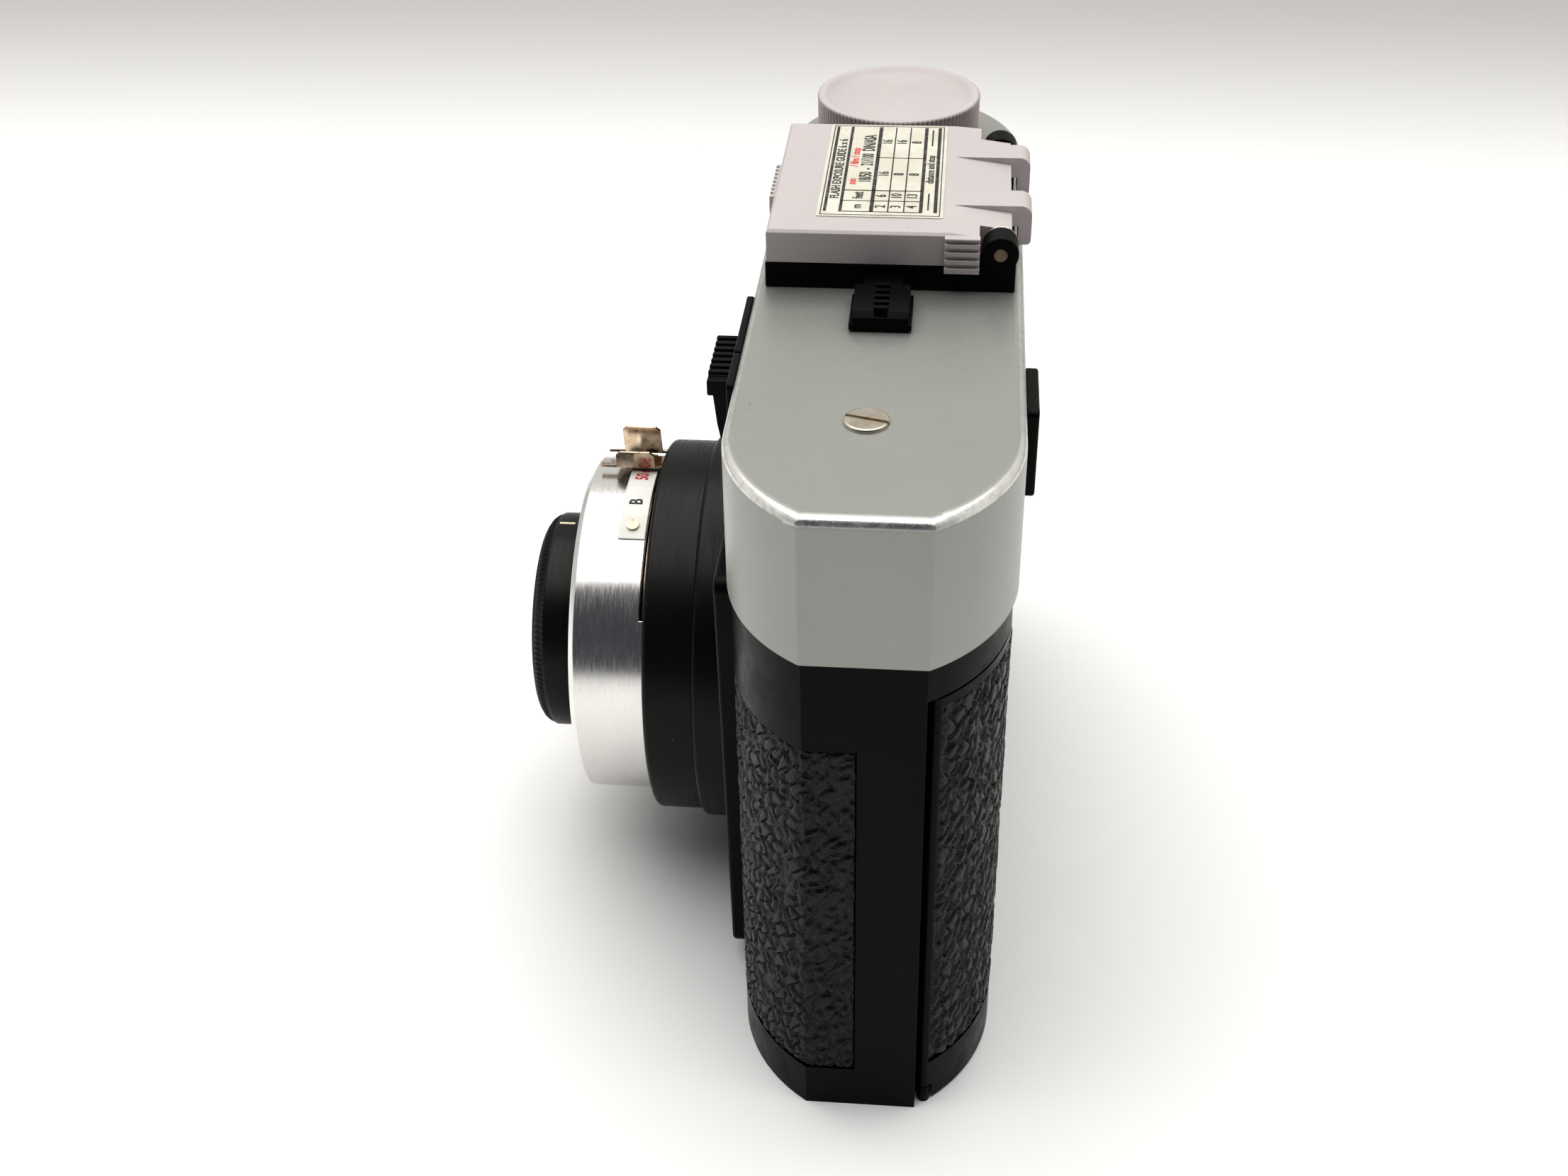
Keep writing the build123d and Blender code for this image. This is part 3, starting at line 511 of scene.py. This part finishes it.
def outline(s, inset):
    """Plan points and outward normals at distances s from the middle of the back, round towards +X."""
    radius = CORNER_RADIUS - inset
    far_x = HALF_LENGTH - inset
    last = np.arccos((far_x - CORNER_X) / radius)
    turn = pi / 2 - (np.abs(s) - CORNER_X) / radius
    arc_end = CORNER_X + radius * (pi / 2 - last)
    facet_y = CORNER_Y + radius * np.sin(last)
    flat = np.abs(s) < CORNER_X
    facet = np.abs(s) > arc_end
    x = np.where(flat, np.abs(s), CORNER_X + radius * np.cos(turn))
    y = np.where(flat, HALF_DEPTH - inset, CORNER_Y + radius * np.sin(turn))
    nx = np.where(flat, 0.0, np.cos(turn))
    ny = np.where(flat, 1.0, np.sin(turn))
    x = np.where(facet, far_x, x)
    y = np.where(facet, facet_y - (np.abs(s) - arc_end), y)
    nx, ny = np.where(facet, 1.0, nx), np.where(facet, 0.0, ny)
    return x * np.sign(s), y, nx * np.sign(s), ny


def smooth_step(value, low, high):
    """0 below low, 1 above high and a smooth step between."""
    t = np.clip((value - low) / (high - low), 0, 1)
    return t * t * (3 - 2 * t)


def pebbles(u, v, slant, seed):
    """Heights from 0 to 1 of a pebbled grain: long irregular lumps with creases between them."""
    table = np.random.RandomState(seed).rand(PEBBLE_TABLE, PEBBLE_TABLE, 3)
    u, v = u / MM, v / MM
    u = u + 0.42 * np.sin(0.83 * v + 0.5 * u) + 0.22 * np.sin(2.1 * v - 1.3 * u)
    v = v + 0.45 * np.sin(1.07 * u + 0.4 * v) + 0.25 * np.sin(2.6 * u + 0.9 * v)
    a, b = (u + slant * v) / PEBBLE_WIDTH, v / PEBBLE_LENGTH
    cell_a, cell_b = np.floor(a).astype(int), np.floor(b).astype(int)
    first = np.full(a.shape, 9.0)
    second = np.full(a.shape, 9.0)
    lump = np.zeros(a.shape)
    for i in (-1, 0, 1):
        for j in (-1, 0, 1):
            spot = table[(cell_a + i) % PEBBLE_TABLE, (cell_b + j) % PEBBLE_TABLE]
            away = np.hypot(cell_a + i + spot[..., 0] - a, cell_b + j + spot[..., 1] - b)
            nearer = away < first
            second = np.where(nearer, first, np.minimum(second, away))
            lump = np.where(nearer, spot[..., 2], lump)
            first = np.where(nearer, away, first)
    dome = smooth_step(second - first, 0.0, 0.32)
    ripple = 0.06 * np.sin(5.1 * u + 2.0 * v) * np.sin(3.7 * v - 1.1 * u)
    return np.clip(dome * (0.62 + 0.38 * lump) - 0.22 * first + ripple + 0.1, 0, 1)


def skin_sheets(s, z, side, slant, seed):
    """Points of a panel's pebbled outer face and of its plain inner face; side is -1 on the front."""
    border = np.minimum.reduce([s - s[0, 0], s[-1, 0] - s, z - z[0, 0], z[0, -1] - z])
    height = pebbles(s, z, slant, seed) * smooth_step(border, 0.0, BORDER)
    x, y, nx, ny = outline(s, SKIN_INSET)
    out = SKIN_PROUD - PEBBLE_HEIGHT * (1 - height)
    outer = np.stack([x + nx * out, side * (y + ny * out), z], -1)
    inner = np.stack([x - nx * SKIN_DEPTH, side * (y - ny * SKIN_DEPTH), z], -1)
    return outer, inner


def sheet_points(bm, sheet, keep):
    """Vertices of a sheet at the corners of the cells that are kept, and None elsewhere."""
    points = [[None] * sheet.shape[1] for _ in range(sheet.shape[0])]
    for i, row in enumerate(points):
        for j in range(len(row)):
            if keep[max(i - 1, 0):i + 1, max(j - 1, 0):j + 1].any():
                row[j] = bm.verts.new(sheet[i, j])
    return points


def skin_panel(bm, s_range, z_range, side, slant, seed, hole=None):
    """Add one closed panel of leatherette to bm, wrapped round the body's outline."""
    count_s = round((s_range[1] - s_range[0]) / SKIN_STEP)
    count_z = round((z_range[1] - z_range[0]) / SKIN_STEP)
    s, z = np.meshgrid(np.linspace(*s_range, count_s + 1), np.linspace(*z_range, count_z + 1), indexing="ij")
    keep = np.ones((count_s, count_z), bool)
    if hole:
        mid_s = (s[:-1, :-1] + s[1:, 1:]) / 2
        mid_z = (z[:-1, :-1] + z[1:, 1:]) / 2
        keep = (mid_s <= hole[0]) | (mid_s >= hole[1]) | (mid_z <= hole[2]) | (mid_z >= hole[3])
    top, under = [sheet_points(bm, sheet, keep) for sheet in skin_sheets(s, z, side, slant, seed)]
    open_edges = {}
    for i, j in zip(*np.nonzero(keep)):
        ring = [(i, j), (i + 1, j), (i + 1, j + 1), (i, j + 1)]
        bm.faces.new([top[a][b] for a, b in ring])
        bm.faces.new([under[a][b] for a, b in reversed(ring)])
        for start, end in zip(ring, ring[1:] + ring[:1]):
            if open_edges.pop((end, start), None) is None:
                open_edges[(start, end)] = True
    for (a, b), (c, d) in open_edges:
        bm.faces.new([top[c][d], top[a][b], under[a][b], under[c][d]])


def front_leather():
    """The front's two grips, each from beside the front plate round onto the end facet."""
    heights = span("front_leatherette", 2)
    on_facet = CORNER_X + 40 * MM       # far enough round to be past the corner
    facet_y = outline(np.array([on_facet]), SKIN_INSET)[1][0]
    reach = on_facet + facet_y + span("front_leatherette", 1)[1]
    bm = bmesh.new()
    skin_panel(bm, (GRIP_START, reach), heights, -1, -0.3, 3)
    skin_panel(bm, (-reach, -GRIP_START), heights, -1, 0.25, 4)
    new_version("front_leather_panels", bm, "front_leatherette")


def door_leather():
    """The door's covering, round both corners, with a hole for the window's frame."""
    radius = CORNER_RADIUS - SKIN_INSET
    start_y = span("door_leatherette", 1)[0]
    reach = CORNER_X + radius * (pi / 2 - math.asin((start_y - CORNER_Y) / radius))
    hole = span("window_frame", 0) + span("window_frame", 2)
    bm = bmesh.new()
    skin_panel(bm, (-reach, reach), span("door_leatherette", 2), 1, 0.3, 5, hole)
    new_version("door_leather_panel", bm, "door_leatherette")


# ------------------------------------------------------------------ turned pieces

HINGE_EAR = 4.1         # mm: from the flash base's end to the inner side of its near hinge ear


def lathe(profile, segments, about, centre, teeth=0, tooth=0.0):
    """Turn a profile of (radius, height, knurl share) points, in mm, about an axis into a closed mesh."""
    bm = bmesh.new()
    rings = []
    for radius, height, knurl in profile:
        ring = []
        for step in range(1 if radius == 0 else segments):
            angle = 2 * pi * step / segments
            cut = tooth * knurl * (0.5 - 0.5 * cos(teeth * angle)) ** 0.7 if teeth else 0.0
            out = (radius - cut) * MM
            place = [centre[0] + out * cos(angle), centre[1] + out * sin(angle)]
            place.insert("xyz".index(about), height * MM)
            ring.append(bm.verts.new(place))
        rings.append(ring)
    closed = profile[0][0] != 0
    pairs = list(zip(rings, rings[1:])) + ([(rings[-1], rings[0])] if closed else [])
    for lower, upper in pairs:
        for step in range(segments):
            after = (step + 1) % segments
            corners = [lower[step % len(lower)], lower[after % len(lower)],
                       upper[after % len(upper)], upper[step % len(upper)]]
            bm.faces.new(list(dict.fromkeys(corners)))
    return bm


def arc_points(centre, radius, start, end, count, knurl=0.0):
    """Points of an arc in a profile, in degrees from outwards towards up."""
    points = []
    for step in range(count + 1):
        angle = radians(start + (end - start) * step / count)
        points.append((centre[0] + radius * cos(angle), centre[1] + radius * sin(angle), knurl))
    return points


def knob():
    """The winding knob: a knurled skirt and a dished top with a rolled rim."""
    low, high = in_mm("wind_knob", 2)
    rim = radius_of("wind_knob") / MM
    teeth, tooth = 105, 0.42
    lip, roll = 11.7, 0.42          # the dish's radius, and the rim's rounding
    depth, lip_drop = 2.4, 0.42     # how far the dish's middle and its edge lie below the rim
    dish = lip - 0.3
    profile = [(0, low, 0), (rim - 1.0, low, 0), (rim - 0.35, low + 0.15, 0.3), (rim - 0.12, low + 0.35, 0.9)]
    profile += [(rim - 0.06, low + 0.6 + step, 1.0) for step in range(6)]
    profile += [(rim, high - 0.62, 0.9)]
    profile += arc_points((rim - roll, high - roll), roll, 10, 90, 5, 0.35)
    profile += [(lip + 0.35, high - 0.03, 0), (lip, high - 0.16, 0), (dish, high - lip_drop, 0)]
    for step in range(1, 13):
        share = 1 - step / 13
        profile.append((dish * share, high - depth + (depth - lip_drop) * share ** 2.6, 0))
    profile.append((0, high - depth, 0))
    new_version("winding_knob", lathe(profile, 10 * teeth, "z", KNOB_CENTRE, teeth, tooth), "wind_knob")


def knob_seat():
    """The flat disc that the winding knob turns on."""
    low, high = in_mm("knob_base", 2)
    rim, bore, bevel = radius_of("knob_base") / MM, 3.3, 0.3
    profile = [(bore, low, 0), (rim, low, 0), (rim, high - bevel, 0), (rim - bevel, high, 0), (bore, high, 0)]
    new_version("knob_seat", lathe(profile, 160, "z", KNOB_CENTRE), "knob_base")


def focusing_ring():
    """The focus ring: a plain skirt, a knurled and rounded edge, and a stepped funnel round the lens."""
    front, back = in_mm("focus_ring", 1)
    rim, bore, thread = FOCUS_RADIUS / MM, 11.0, 13.5
    teeth, tooth = 120, 0.28
    skirt = in_mm("barrel_ring", 1)[0] - 0.3
    profile = [(bore, back, 0), (thread, back, 0), (thread, skirt, 0)]
    profile += [(rim - 0.15, skirt, 0), (rim, skirt - 0.15, 0), (rim, front + 2.5, 0), (rim, front + 2.05, 0)]
    profile += [(rim - 0.12, front + 1.9, 0.2), (rim - 0.2, front + 1.7, 1.0), (rim - 0.45, front + 1.1, 1.0),
                (rim - 0.9, front + 0.5, 0.9)]
    profile += arc_points((rim - 1.9, front + 0.7), 0.7, -20, -90, 4)
    profile += [(15.6, front + 0.05, 0), (15.3, front + 0.3, 0)]
    profile += [(14.4, front + 0.75, 0), (14.2, front + 0.72, 0), (13.1, front + 1.3, 0)]
    profile += [(12.9, front + 1.27, 0), (11.9, front + 1.8, 0), (bore, front + 2.1, 0)]
    new_version("focusing_ring", lathe(profile, 8 * teeth, "y", (0, LENS_Z), teeth, tooth), "focus_ring")


def hinge_washer():
    """The bright spring washer that shows between the lid and the near hinge ear."""
    centre = (middle("lid_hinge_pins", 1), middle("lid_hinge_pins", 2))
    bore, rim, thick = 1.1, 2.5, 0.3
    face = in_mm("flash_base", 0)[1] - HINGE_EAR
    profile = [(bore, face - thick, 0), (rim - 0.15, face - thick, 0), (rim, face - thick + 0.1, 0),
               (rim, face - 0.1, 0), (rim - 0.15, face, 0), (bore, face, 0)]
    new_piece("hinge_washer", lathe(profile, 96, "x", centre), FINISH["plated_screw"], "camera")


# ------------------------------------------------------------------ print

CAP_SHARE = 0.69        # a capital's height as a share of the font's size
INK_SPREAD = 0.018      # how far ink widens a stroke, as a share of the font's size
SUNK = 0.01             # mm: how far a mark reaches into its surface
CARD_INK = 0.04         # mm: the thickness of the label's print
LENS_INK = 0.05         # mm: the thickness of the lens scales' print


def word(letters, right, down, height, squeeze=1.0):
    """Letters as a solid in a page's plane, in mm: centred on a place, with the cap height as asked."""
    data = bpy.data.curves.new("word", "FONT")
    data.body = letters
    data.align_x = "CENTER"
    data.align_y = "CENTER"
    data.extrude = 0.5
    data.offset = INK_SPREAD
    data.resolution_u = 3
    holder = bpy.data.objects.new("word", data)
    bpy.context.scene.collection.objects.link(holder)
    mesh = bpy.data.meshes.new_from_object(holder)
    bm = bmesh.new()
    bm.from_mesh(mesh)
    bpy.data.objects.remove(holder)
    bpy.data.curves.remove(data)
    bpy.data.meshes.remove(mesh)
    bmesh.ops.remove_doubles(bm, verts=bm.verts, dist=1e-5)
    size = height / CAP_SHARE
    for vert in bm.verts:
        vert.co = Vector((right + vert.co.x * size * squeeze, vert.co.y * size - down, vert.co.z))
    return bm


def bar(left, right, low, high):
    """A printed rule in the page's plane, in mm."""
    bm = bmesh.new()
    bmesh.ops.create_cube(bm, size=1.0)
    for vert in bm.verts:
        vert.co = Vector(((left + right) / 2 + vert.co.x * (right - left),
                          (low + high) / 2 + vert.co.y * (high - low), vert.co.z))
    return bm


def rule_across(left, right, down, thick):
    """A rule along the lines of a page, at a distance down from its top."""
    return bar(left, right, -down - thick / 2, -down + thick / 2)


def rule_down(right, top, bottom, thick):
    """A rule down a page, between two distances from its top."""
    return bar(right - thick / 2, right + thick / 2, -bottom, -top)


def printed_piece(name, marks, where, material, body):
    """Join flat marks into one piece; where(right, up, share of thickness) gives each point's place."""
    joined = bmesh.new()
    for bm in marks:
        for vert in bm.verts:
            vert.co = where(vert.co.x, vert.co.y, vert.co.z + 0.5)
        mesh = bpy.data.meshes.new("mark")
        bm.to_mesh(mesh)
        bm.free()
        joined.from_mesh(mesh)
        bpy.data.meshes.remove(mesh)
    new_piece(name, joined, material, body, smooth=False)


def label_card(low, high):
    """The label's card between two corners, with its own corners rounded."""
    card = bmesh.new()
    bmesh.ops.create_cube(card, size=1.0)
    for vert in card.verts:
        vert.co = [(low[i] + high[i]) / 2 + vert.co[i] * (high[i] - low[i]) for i in range(3)]
    uprights = [e for e in card.edges if abs(e.verts[0].co.z - e.verts[1].co.z) > 0.05 * MM]
    bmesh.ops.bevel(card, geom=uprights, offset=0.4 * MM, segments=4, profile=0.5, affect="EDGES")
    piece = new_piece("label_card", card, FINISH["label_ivory"], "lid", smooth=False)
    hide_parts("lid_label")


def table_rules(tall, columns):
    """The frame, the heavy lines and the light lines of the exposure table."""
    start, end = columns[0], columns[-1]
    top, bottom, left = 0.48, tall - 0.45, 0.5
    rules = [bar(left, end, -top - 0.14, -top), bar(left, end, -bottom, -bottom + 0.13),
             bar(left, left + 0.15, -bottom, -top), bar(end, end + 0.14, -bottom, -top)]
    for down, thick in ((1.1, 0.42), (3.3, 0.42), (7.7, 0.55), (14.7, 0.5), (16.75, 0.5)):
        rules.append(rule_across(start, end - 0.3, down, thick))
    for down in (10.05, 12.3):
        rules.append(rule_across(start, end - 0.3, down, 0.18))
    rules += [rule_down(start, 3.1, 14.8, 0.2), rule_down(columns[1], 3.3, 14.7, 0.18),
              rule_down(columns[2], 3.3, 14.7, 0.24), rule_down(columns[3], 7.7, 14.7, 0.18)]
    rules += [rule_across(2.6, 8.4, 15.71, 0.22), rule_across(26.4, end - 1.2, 15.71, 0.22)]
    return rules


def table_words(columns):
    """The headings and the numbers of the exposure table."""
    words = [word("FLASH EXPOSURE GUIDE 6 x 6", 17.4, 2.25, 1.25, 0.92),
             word("m", 3.5, 5.6, 1.3), word("feet", 7.4, 5.6, 1.5, 0.7),
             word("18/50  -  21/100  DIN/ASA", 21.3, 6.3, 1.75, 0.66),
             word("distance and stop", 17.4, 15.72, 1.15, 0.9)]
    middles = [(a + b) / 2 for a, b in zip(columns, columns[1:])]
    rows = (("2", "6", "16", "16"), ("3", "10", "8", "16"), ("4", "13", "8", "8"))
    for row, down in zip(rows, (8.95, 11.15, 13.4)):
        for number, right in zip(row, middles):
            words.append(word(number, right, down, 1.45, 0.85))
    return words


def label():
    """The exposure table on the flash lid; it reads towards the knob."""
    low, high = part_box("lid_label")
    wide, tall = (high.x - low.x) / MM, (high.y - low.y) / MM
    card_top = high.z - 0.03 * MM

    def on_card(right, up, share):
        return Vector((high.x - right * MM, low.y - up * MM, card_top + (share * CARD_INK - SUNK) * MM))

    label_card(low, (high.x, high.y, card_top))
    columns = (1.7, 5.5, 9.2, 21.5, wide - 0.6)
    black = table_rules(tall, columns) + table_words(columns)
    printed_piece("label_black_print", black, on_card, BLACK_INK, "lid")
    red = [word("sun", 12.4, 4.4, 1.2, 0.9), word("/ film / stop", 21.6, 4.4, 1.2, 0.9)]
    printed_piece("label_red_print", red, on_card, RED_INK, "lid")


def round_lens(radius, y, from_top):
    """A mapping from a flat mark, in mm, to the turned surface of the lens, degrees from the top."""
    def place(right, up, share):
        out = radius + (share * LENS_INK - SUNK) * MM
        angle = radians(from_top) - right * MM / radius
        return Vector((out * sin(angle), y - up * MM, LENS_Z + out * cos(angle)))
    return place


def shutter_scale():
    """The signs on the shutter's white strip: stops on the far side, speeds on the near side."""
    on_strip = round_lens(BARREL_RADIUS + 0.3 * MM, middle("scale_strip", 1), 0)
    far = [word("8", 5.9, 0, 2.0, 0.8), word("16", 10.2, 0, 2.0, 0.7)]
    near = [word("B", -5.65, 0, 2.0, 0.8)]
    zigzag = [bar(2.4, 2.65, -0.9, 0.35), bar(2.4, 3.1, 0.1, 0.35), bar(2.95, 3.2, -0.1, 0.9)]
    red = [word("50", 0.9, 0, 1.95, 0.7)] + zigzag
    printed_piece("shutter_scale_far", far, on_strip, BLACK_INK, "camera")
    printed_piece("shutter_scale_near", near, on_strip, BLACK_INK, "camera")
    printed_piece("shutter_scale_red", red, on_strip, RED_INK, "camera")


def focus_marks():
    """The distances in metres and the index line, in cream paint on the focus ring."""
    front = span("focus_ring", 1)[0]
    for turn, distance in ((-58, "2"), (-74, "3"), (-92, "5"), (-112, "10"), (-134, "inf")):
        at = round_lens(FOCUS_RADIUS, front + 4.4 * MM, turn)
        printed_piece("distance_" + distance, [word(distance, 0, 0, 1.7, 0.85)], at, CREAM_PAINT,
                      "focus")
    at = round_lens(FOCUS_RADIUS, front + 3.6 * MM, -6.8)
    printed_piece("focus_index", [bar(-0.3, 0.3, -1.25, 1.25)], at, CREAM_PAINT, "focus")


# ------------------------------------------------------------------ camera, floor and light

def photo_camera():
    """The camera at the photograph's viewpoint."""
    yaw, pitch, roll = radians(CAMERA_YAW), radians(CAMERA_PITCH), radians(CAMERA_ROLL)
    forward = Vector((-cos(yaw) * cos(pitch), -sin(yaw) * cos(pitch), -sin(pitch)))
    level = forward.cross(Vector((0, 0, 1))).normalized()
    upright = level.cross(forward)
    right = cos(roll) * level + sin(roll) * upright
    up = -sin(roll) * level + cos(roll) * upright
    data = bpy.data.cameras.new("photo_camera")
    data.sensor_width = SENSOR_WIDTH
    data.lens = CAMERA_LENS
    data.clip_start, data.clip_end = 0.01, 20
    camera = bpy.data.objects.new("photo_camera", data)
    bpy.context.scene.collection.objects.link(camera)
    turn = Matrix((right, up, -forward)).transposed().to_4x4()
    camera.matrix_world = Matrix.Translation(CAMERA_AT) @ turn
    bpy.context.scene.camera = camera


def floor():
    """A wide sheet of pale paper under the camera."""
    bm = bmesh.new()
    bmesh.ops.create_grid(bm, x_segments=24, y_segments=24, size=FLOOR_REACH)
    mesh = bpy.data.meshes.new("pale_floor")
    bm.to_mesh(mesh)
    bm.free()
    mesh.materials.append(floor_paper())
    plane = bpy.data.objects.new("pale_floor", mesh)
    bpy.context.scene.collection.objects.link(plane)


def ceiling_light():
    """A broad soft light straight above the floor, turned to shine down."""
    data = bpy.data.lights.new("ceiling", "AREA")
    data.shape = "RECTANGLE"
    data.size, data.size_y = CEILING_SIZE
    data.energy = CEILING_WATTS
    data.color = (1.0, 0.99, 0.97)
    light = bpy.data.objects.new("ceiling", data)
    bpy.context.scene.collection.objects.link(light)
    down = Vector((0, 0, -1)).to_track_quat("-Z", "Y").to_matrix().to_4x4()
    light.matrix_world = Matrix.Translation(CEILING_AT) @ down


def pale_room():
    """A pale world all round, darker on the side that the camera stands on."""
    world = bpy.data.worlds.new("studio")
    world.use_nodes = True
    tree = world.node_tree
    coords = tree.nodes.new("ShaderNodeTexCoord")
    split = tree.nodes.new("ShaderNodeSeparateXYZ")
    tree.links.new(coords.outputs["Generated"], split.inputs[0])
    dark_side = tree.nodes.new("ShaderNodeMapRange")
    dark_side.interpolation_type = "SMOOTHSTEP"
    tree.links.new(split.outputs[0], dark_side.inputs["Value"])
    dark_side.inputs["From Min"].default_value = 0.05
    dark_side.inputs["From Max"].default_value = 0.6
    mix = tree.nodes.new("ShaderNodeMix")
    mix.data_type = "RGBA"
    factor, pale, dark = [mix.inputs[index] for index in MIX_INPUTS]
    tree.links.new(dark_side.outputs["Result"], factor)
    pale.default_value = (0.55, 0.545, 0.53, 1)
    dark.default_value = (0.075, 0.075, 0.085, 1)
    background = tree.nodes["Background"]
    tree.links.new(mix.outputs[MIX_OUTPUT], background.inputs["Color"])
    background.inputs["Strength"].default_value = 1.0
    bpy.context.scene.world = world


def contrast():
    """The contrast of the photograph's tones."""
    bpy.context.scene.view_settings.view_transform = "Standard"
    bpy.context.scene.view_settings.look = "High Contrast"


# ------------------------------------------------------------------ the whole scene

# Casings and small parts whose edges are rounded, with the radius in mm.
ROUNDED = {
    "flash_base": 0.25, "flash_lid": 0.35, "bulb_ejector": 0.18, "finder_front_frame": 0.2,
    "release_guide": 0.2, "eyepiece_frame": 0.2, "release_lever": 0.22, "front_plate": 0.25,
    "body_shell": 0.25, "back_door": 0.25, "door_latch": 0.15, "window_frame": 0.12, "window_slide": 0.1,
    "rear_flange": 0.2, "front_flange": 0.2, "barrel_ring": 0.2, "speed_lever": 0.06, "aperture_lever": 0.06,
}

finish_nodes()
for node_name, edge_radius in ROUNDED.items():
    softened(node_name, edge_radius)
softened("cover_screw", 0.12, FINISH["plated_screw"])
front_leather()
door_leather()
knob()
knob_seat()
focusing_ring()
label()
hinge_washer()
shutter_scale()
focus_marks()
photo_camera()
floor()
pale_room()
ceiling_light()
contrast()
